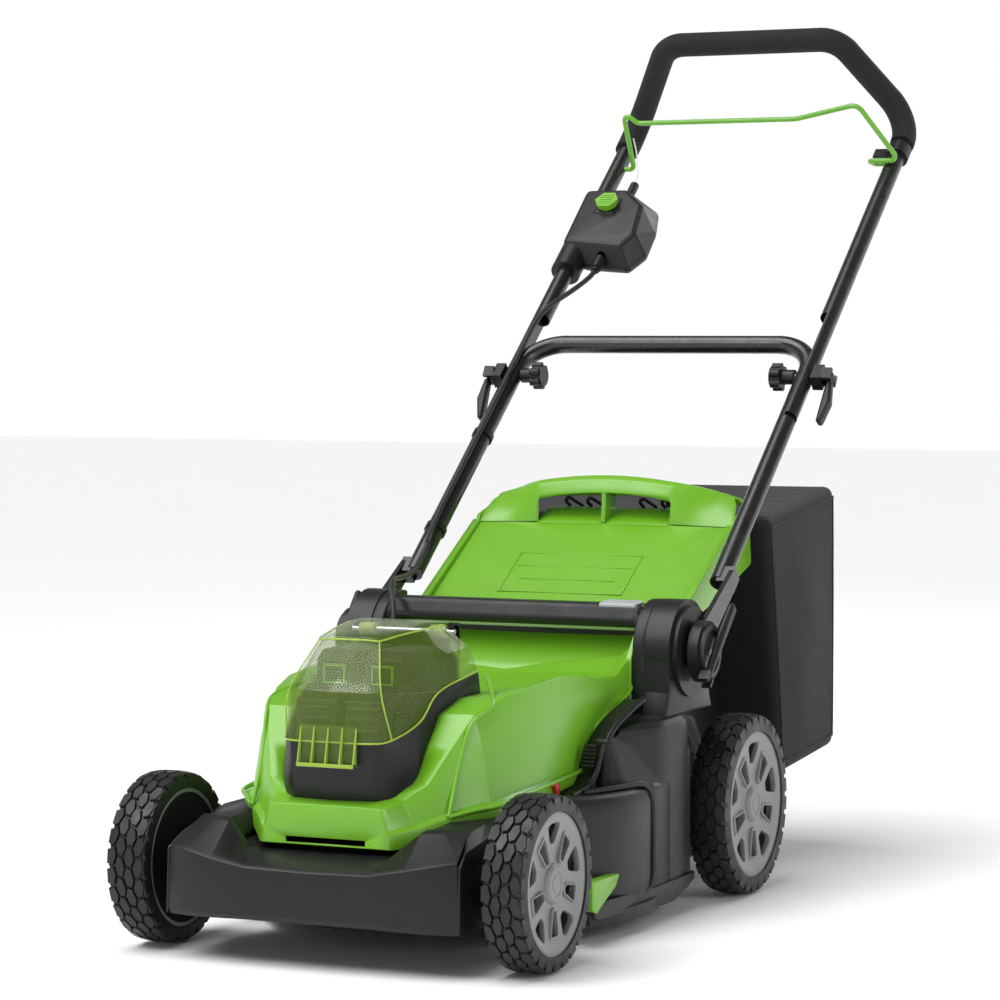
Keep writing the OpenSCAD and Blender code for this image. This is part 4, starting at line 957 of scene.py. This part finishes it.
# ------------------------------------------------------------------ cables
UPPER_ROUTE = [(-148, 641, 6), (-150, 628, 7), (-156, 610, 9), (-164, 590, 12), (-174, 570, 14.5), (-183, 550, 15.8),
               (-187, 530, 16), (-188, 500, 16), (-188, 470, 16), (-188, 440.5, 16)]
LOWER_ROUTE = [(-188, 439.5, 16), (-188, 400, 16), (-188, 350, 16), (-188, 300, 16), (-188, 250, 16), (-188, 200, 16),
               (-187, 160, 16.5), (-184, 130, 18), (-180, 110, 20)]
BASE_ROUTE = [(-179.5, 549.4, 384.1), (-177, 530, 369), (-174, 505, 357), (-170, 478, 352), (-165, 450, 351),
              (-158, 420, 351), (-148, 395, 347), (-138, 375, 336), (-130, 362, 318), (-126, 352, 296),
              (-124, 346, 274), (-122, 342, 256)]
PULL_ROUTE = [(-160.5, 874.5, 44), (-158, 868, 33), (-154.5, 856, 22), (-151.5, 843, 15), (-150, 830, 10),
              (-150, 820, 8)]
LEAD_R = 0.0033
rope("power_lead_upper", [on_handle(*p) for p in UPPER_ROUTE], LEAD_R, "cable_black", "upper_frame",
     replace=("power_cable_upper",))
rope("power_lead_lower", [on_handle(*p) for p in LOWER_ROUTE], LEAD_R, "cable_black", "lower_frame",
     replace=("power_cable_lower",))
rope("power_lead_base", [place(*p) for p in BASE_ROUTE], LEAD_R, "cable_black",
     ("chassis", "lower_frame", place(*BASE_ROUTE[6]), place(*BASE_ROUTE[0])),
     replace=("power_cable_base",))
rope("pull_lead", [on_handle(*p) for p in PULL_ROUTE], 0.0009, "cable_clear",
     ("upper_frame", "bail", on_handle(*PULL_ROUTE[-1]), on_handle(*PULL_ROUTE[0])), replace=("pull_cable",))

# ------------------------------------------------------------------ stage, light and camera
FLOOR_HALF = 14
FLOOR_Z = -0.0005
floor_mesh = bpy.data.meshes.new("floor")
floor_corners = [(u * FLOOR_HALF, v * FLOOR_HALF, FLOOR_Z) for u, v in ((-1, -1), (1, -1), (1, 1), (-1, 1))]
floor_mesh.from_pydata(floor_corners, [], [(0, 1, 2, 3)])
floor = bpy.data.objects.new("floor", floor_mesh)
bpy.context.scene.collection.objects.link(floor)
floor_surface = Surface("floor", (0.98, 0.98, 0.98), 0.9)
floor_surface.vary_color(floor_surface.noise(3, 3), 0.01)
floor.data.materials.append(floor_surface.mat)

world = bpy.data.worlds.new("studio")
world.use_nodes = True
sky = world.node_tree
sky_coords = sky.nodes.new("ShaderNodeTexCoord")
sky_axes = sky.nodes.new("ShaderNodeSeparateXYZ")
sky_ramp = sky.nodes.new("ShaderNodeValToRGB")
sky.links.new(sky_coords.outputs["Generated"], sky_axes.inputs[0])
sky.links.new(sky_axes.outputs["Z"], sky_ramp.inputs[0])
sky.links.new(sky_ramp.outputs[0], sky.nodes["Background"].inputs["Color"])
sky_ramp.color_ramp.elements[0].position = 0.16
sky_ramp.color_ramp.elements[0].color = (1, 1, 1, 1)
sky_ramp.color_ramp.elements[1].position = 0.42
sky_ramp.color_ramp.elements[1].color = (0.16, 0.16, 0.165, 1)
bpy.context.scene.world = world
bpy.context.scene.view_settings.view_transform = "Standard"


def soft_light(name, position, target, size, energy):
    data = bpy.data.lights.new(name, "AREA")
    data.size = size
    data.energy = energy
    light = bpy.data.objects.new(name, data)
    light.location = position
    light.rotation_euler = (Vector(target) - Vector(position)).to_track_quat("-Z", "Y").to_euler()
    bpy.context.scene.collection.objects.link(light)


sun_data = bpy.data.lights.new("overhead", "SUN")
sun_data.angle = math.radians(50)
sun_data.energy = 2.5
sun = bpy.data.objects.new("overhead", sun_data)
sun.rotation_euler = Vector((0.35, 0.3, -1.0)).to_track_quat("-Z", "Y").to_euler()
bpy.context.scene.collection.objects.link(sun)
soft_light("key", (-1.2, -2.6, 2.4), (0, 0, 0.35), 1.0, 22)
soft_light("side", (2.8, -0.9, 1.5), (0, 0, 0.35), 1.1, 16)
soft_light("back", (0.8, 2.8, 2.2), (0, 0.2, 0.5), 1.4, 24)

CAMERA_LENS = 124.417
CAMERA_AT = (1606.472, -3090.741, 633.753)
CAMERA_DROP = 2.804
CAMERA_TURN = 24.932
camera_data = bpy.data.cameras.new("camera")
camera_data.lens = CAMERA_LENS
camera_data.sensor_width = 36
camera_data.clip_end = 60
camera = bpy.data.objects.new("camera", camera_data)
camera.location = place(*CAMERA_AT)
camera.rotation_euler = (math.radians(90 - CAMERA_DROP), 0, math.radians(CAMERA_TURN))
bpy.context.scene.collection.objects.link(camera)
bpy.context.scene.camera = camera
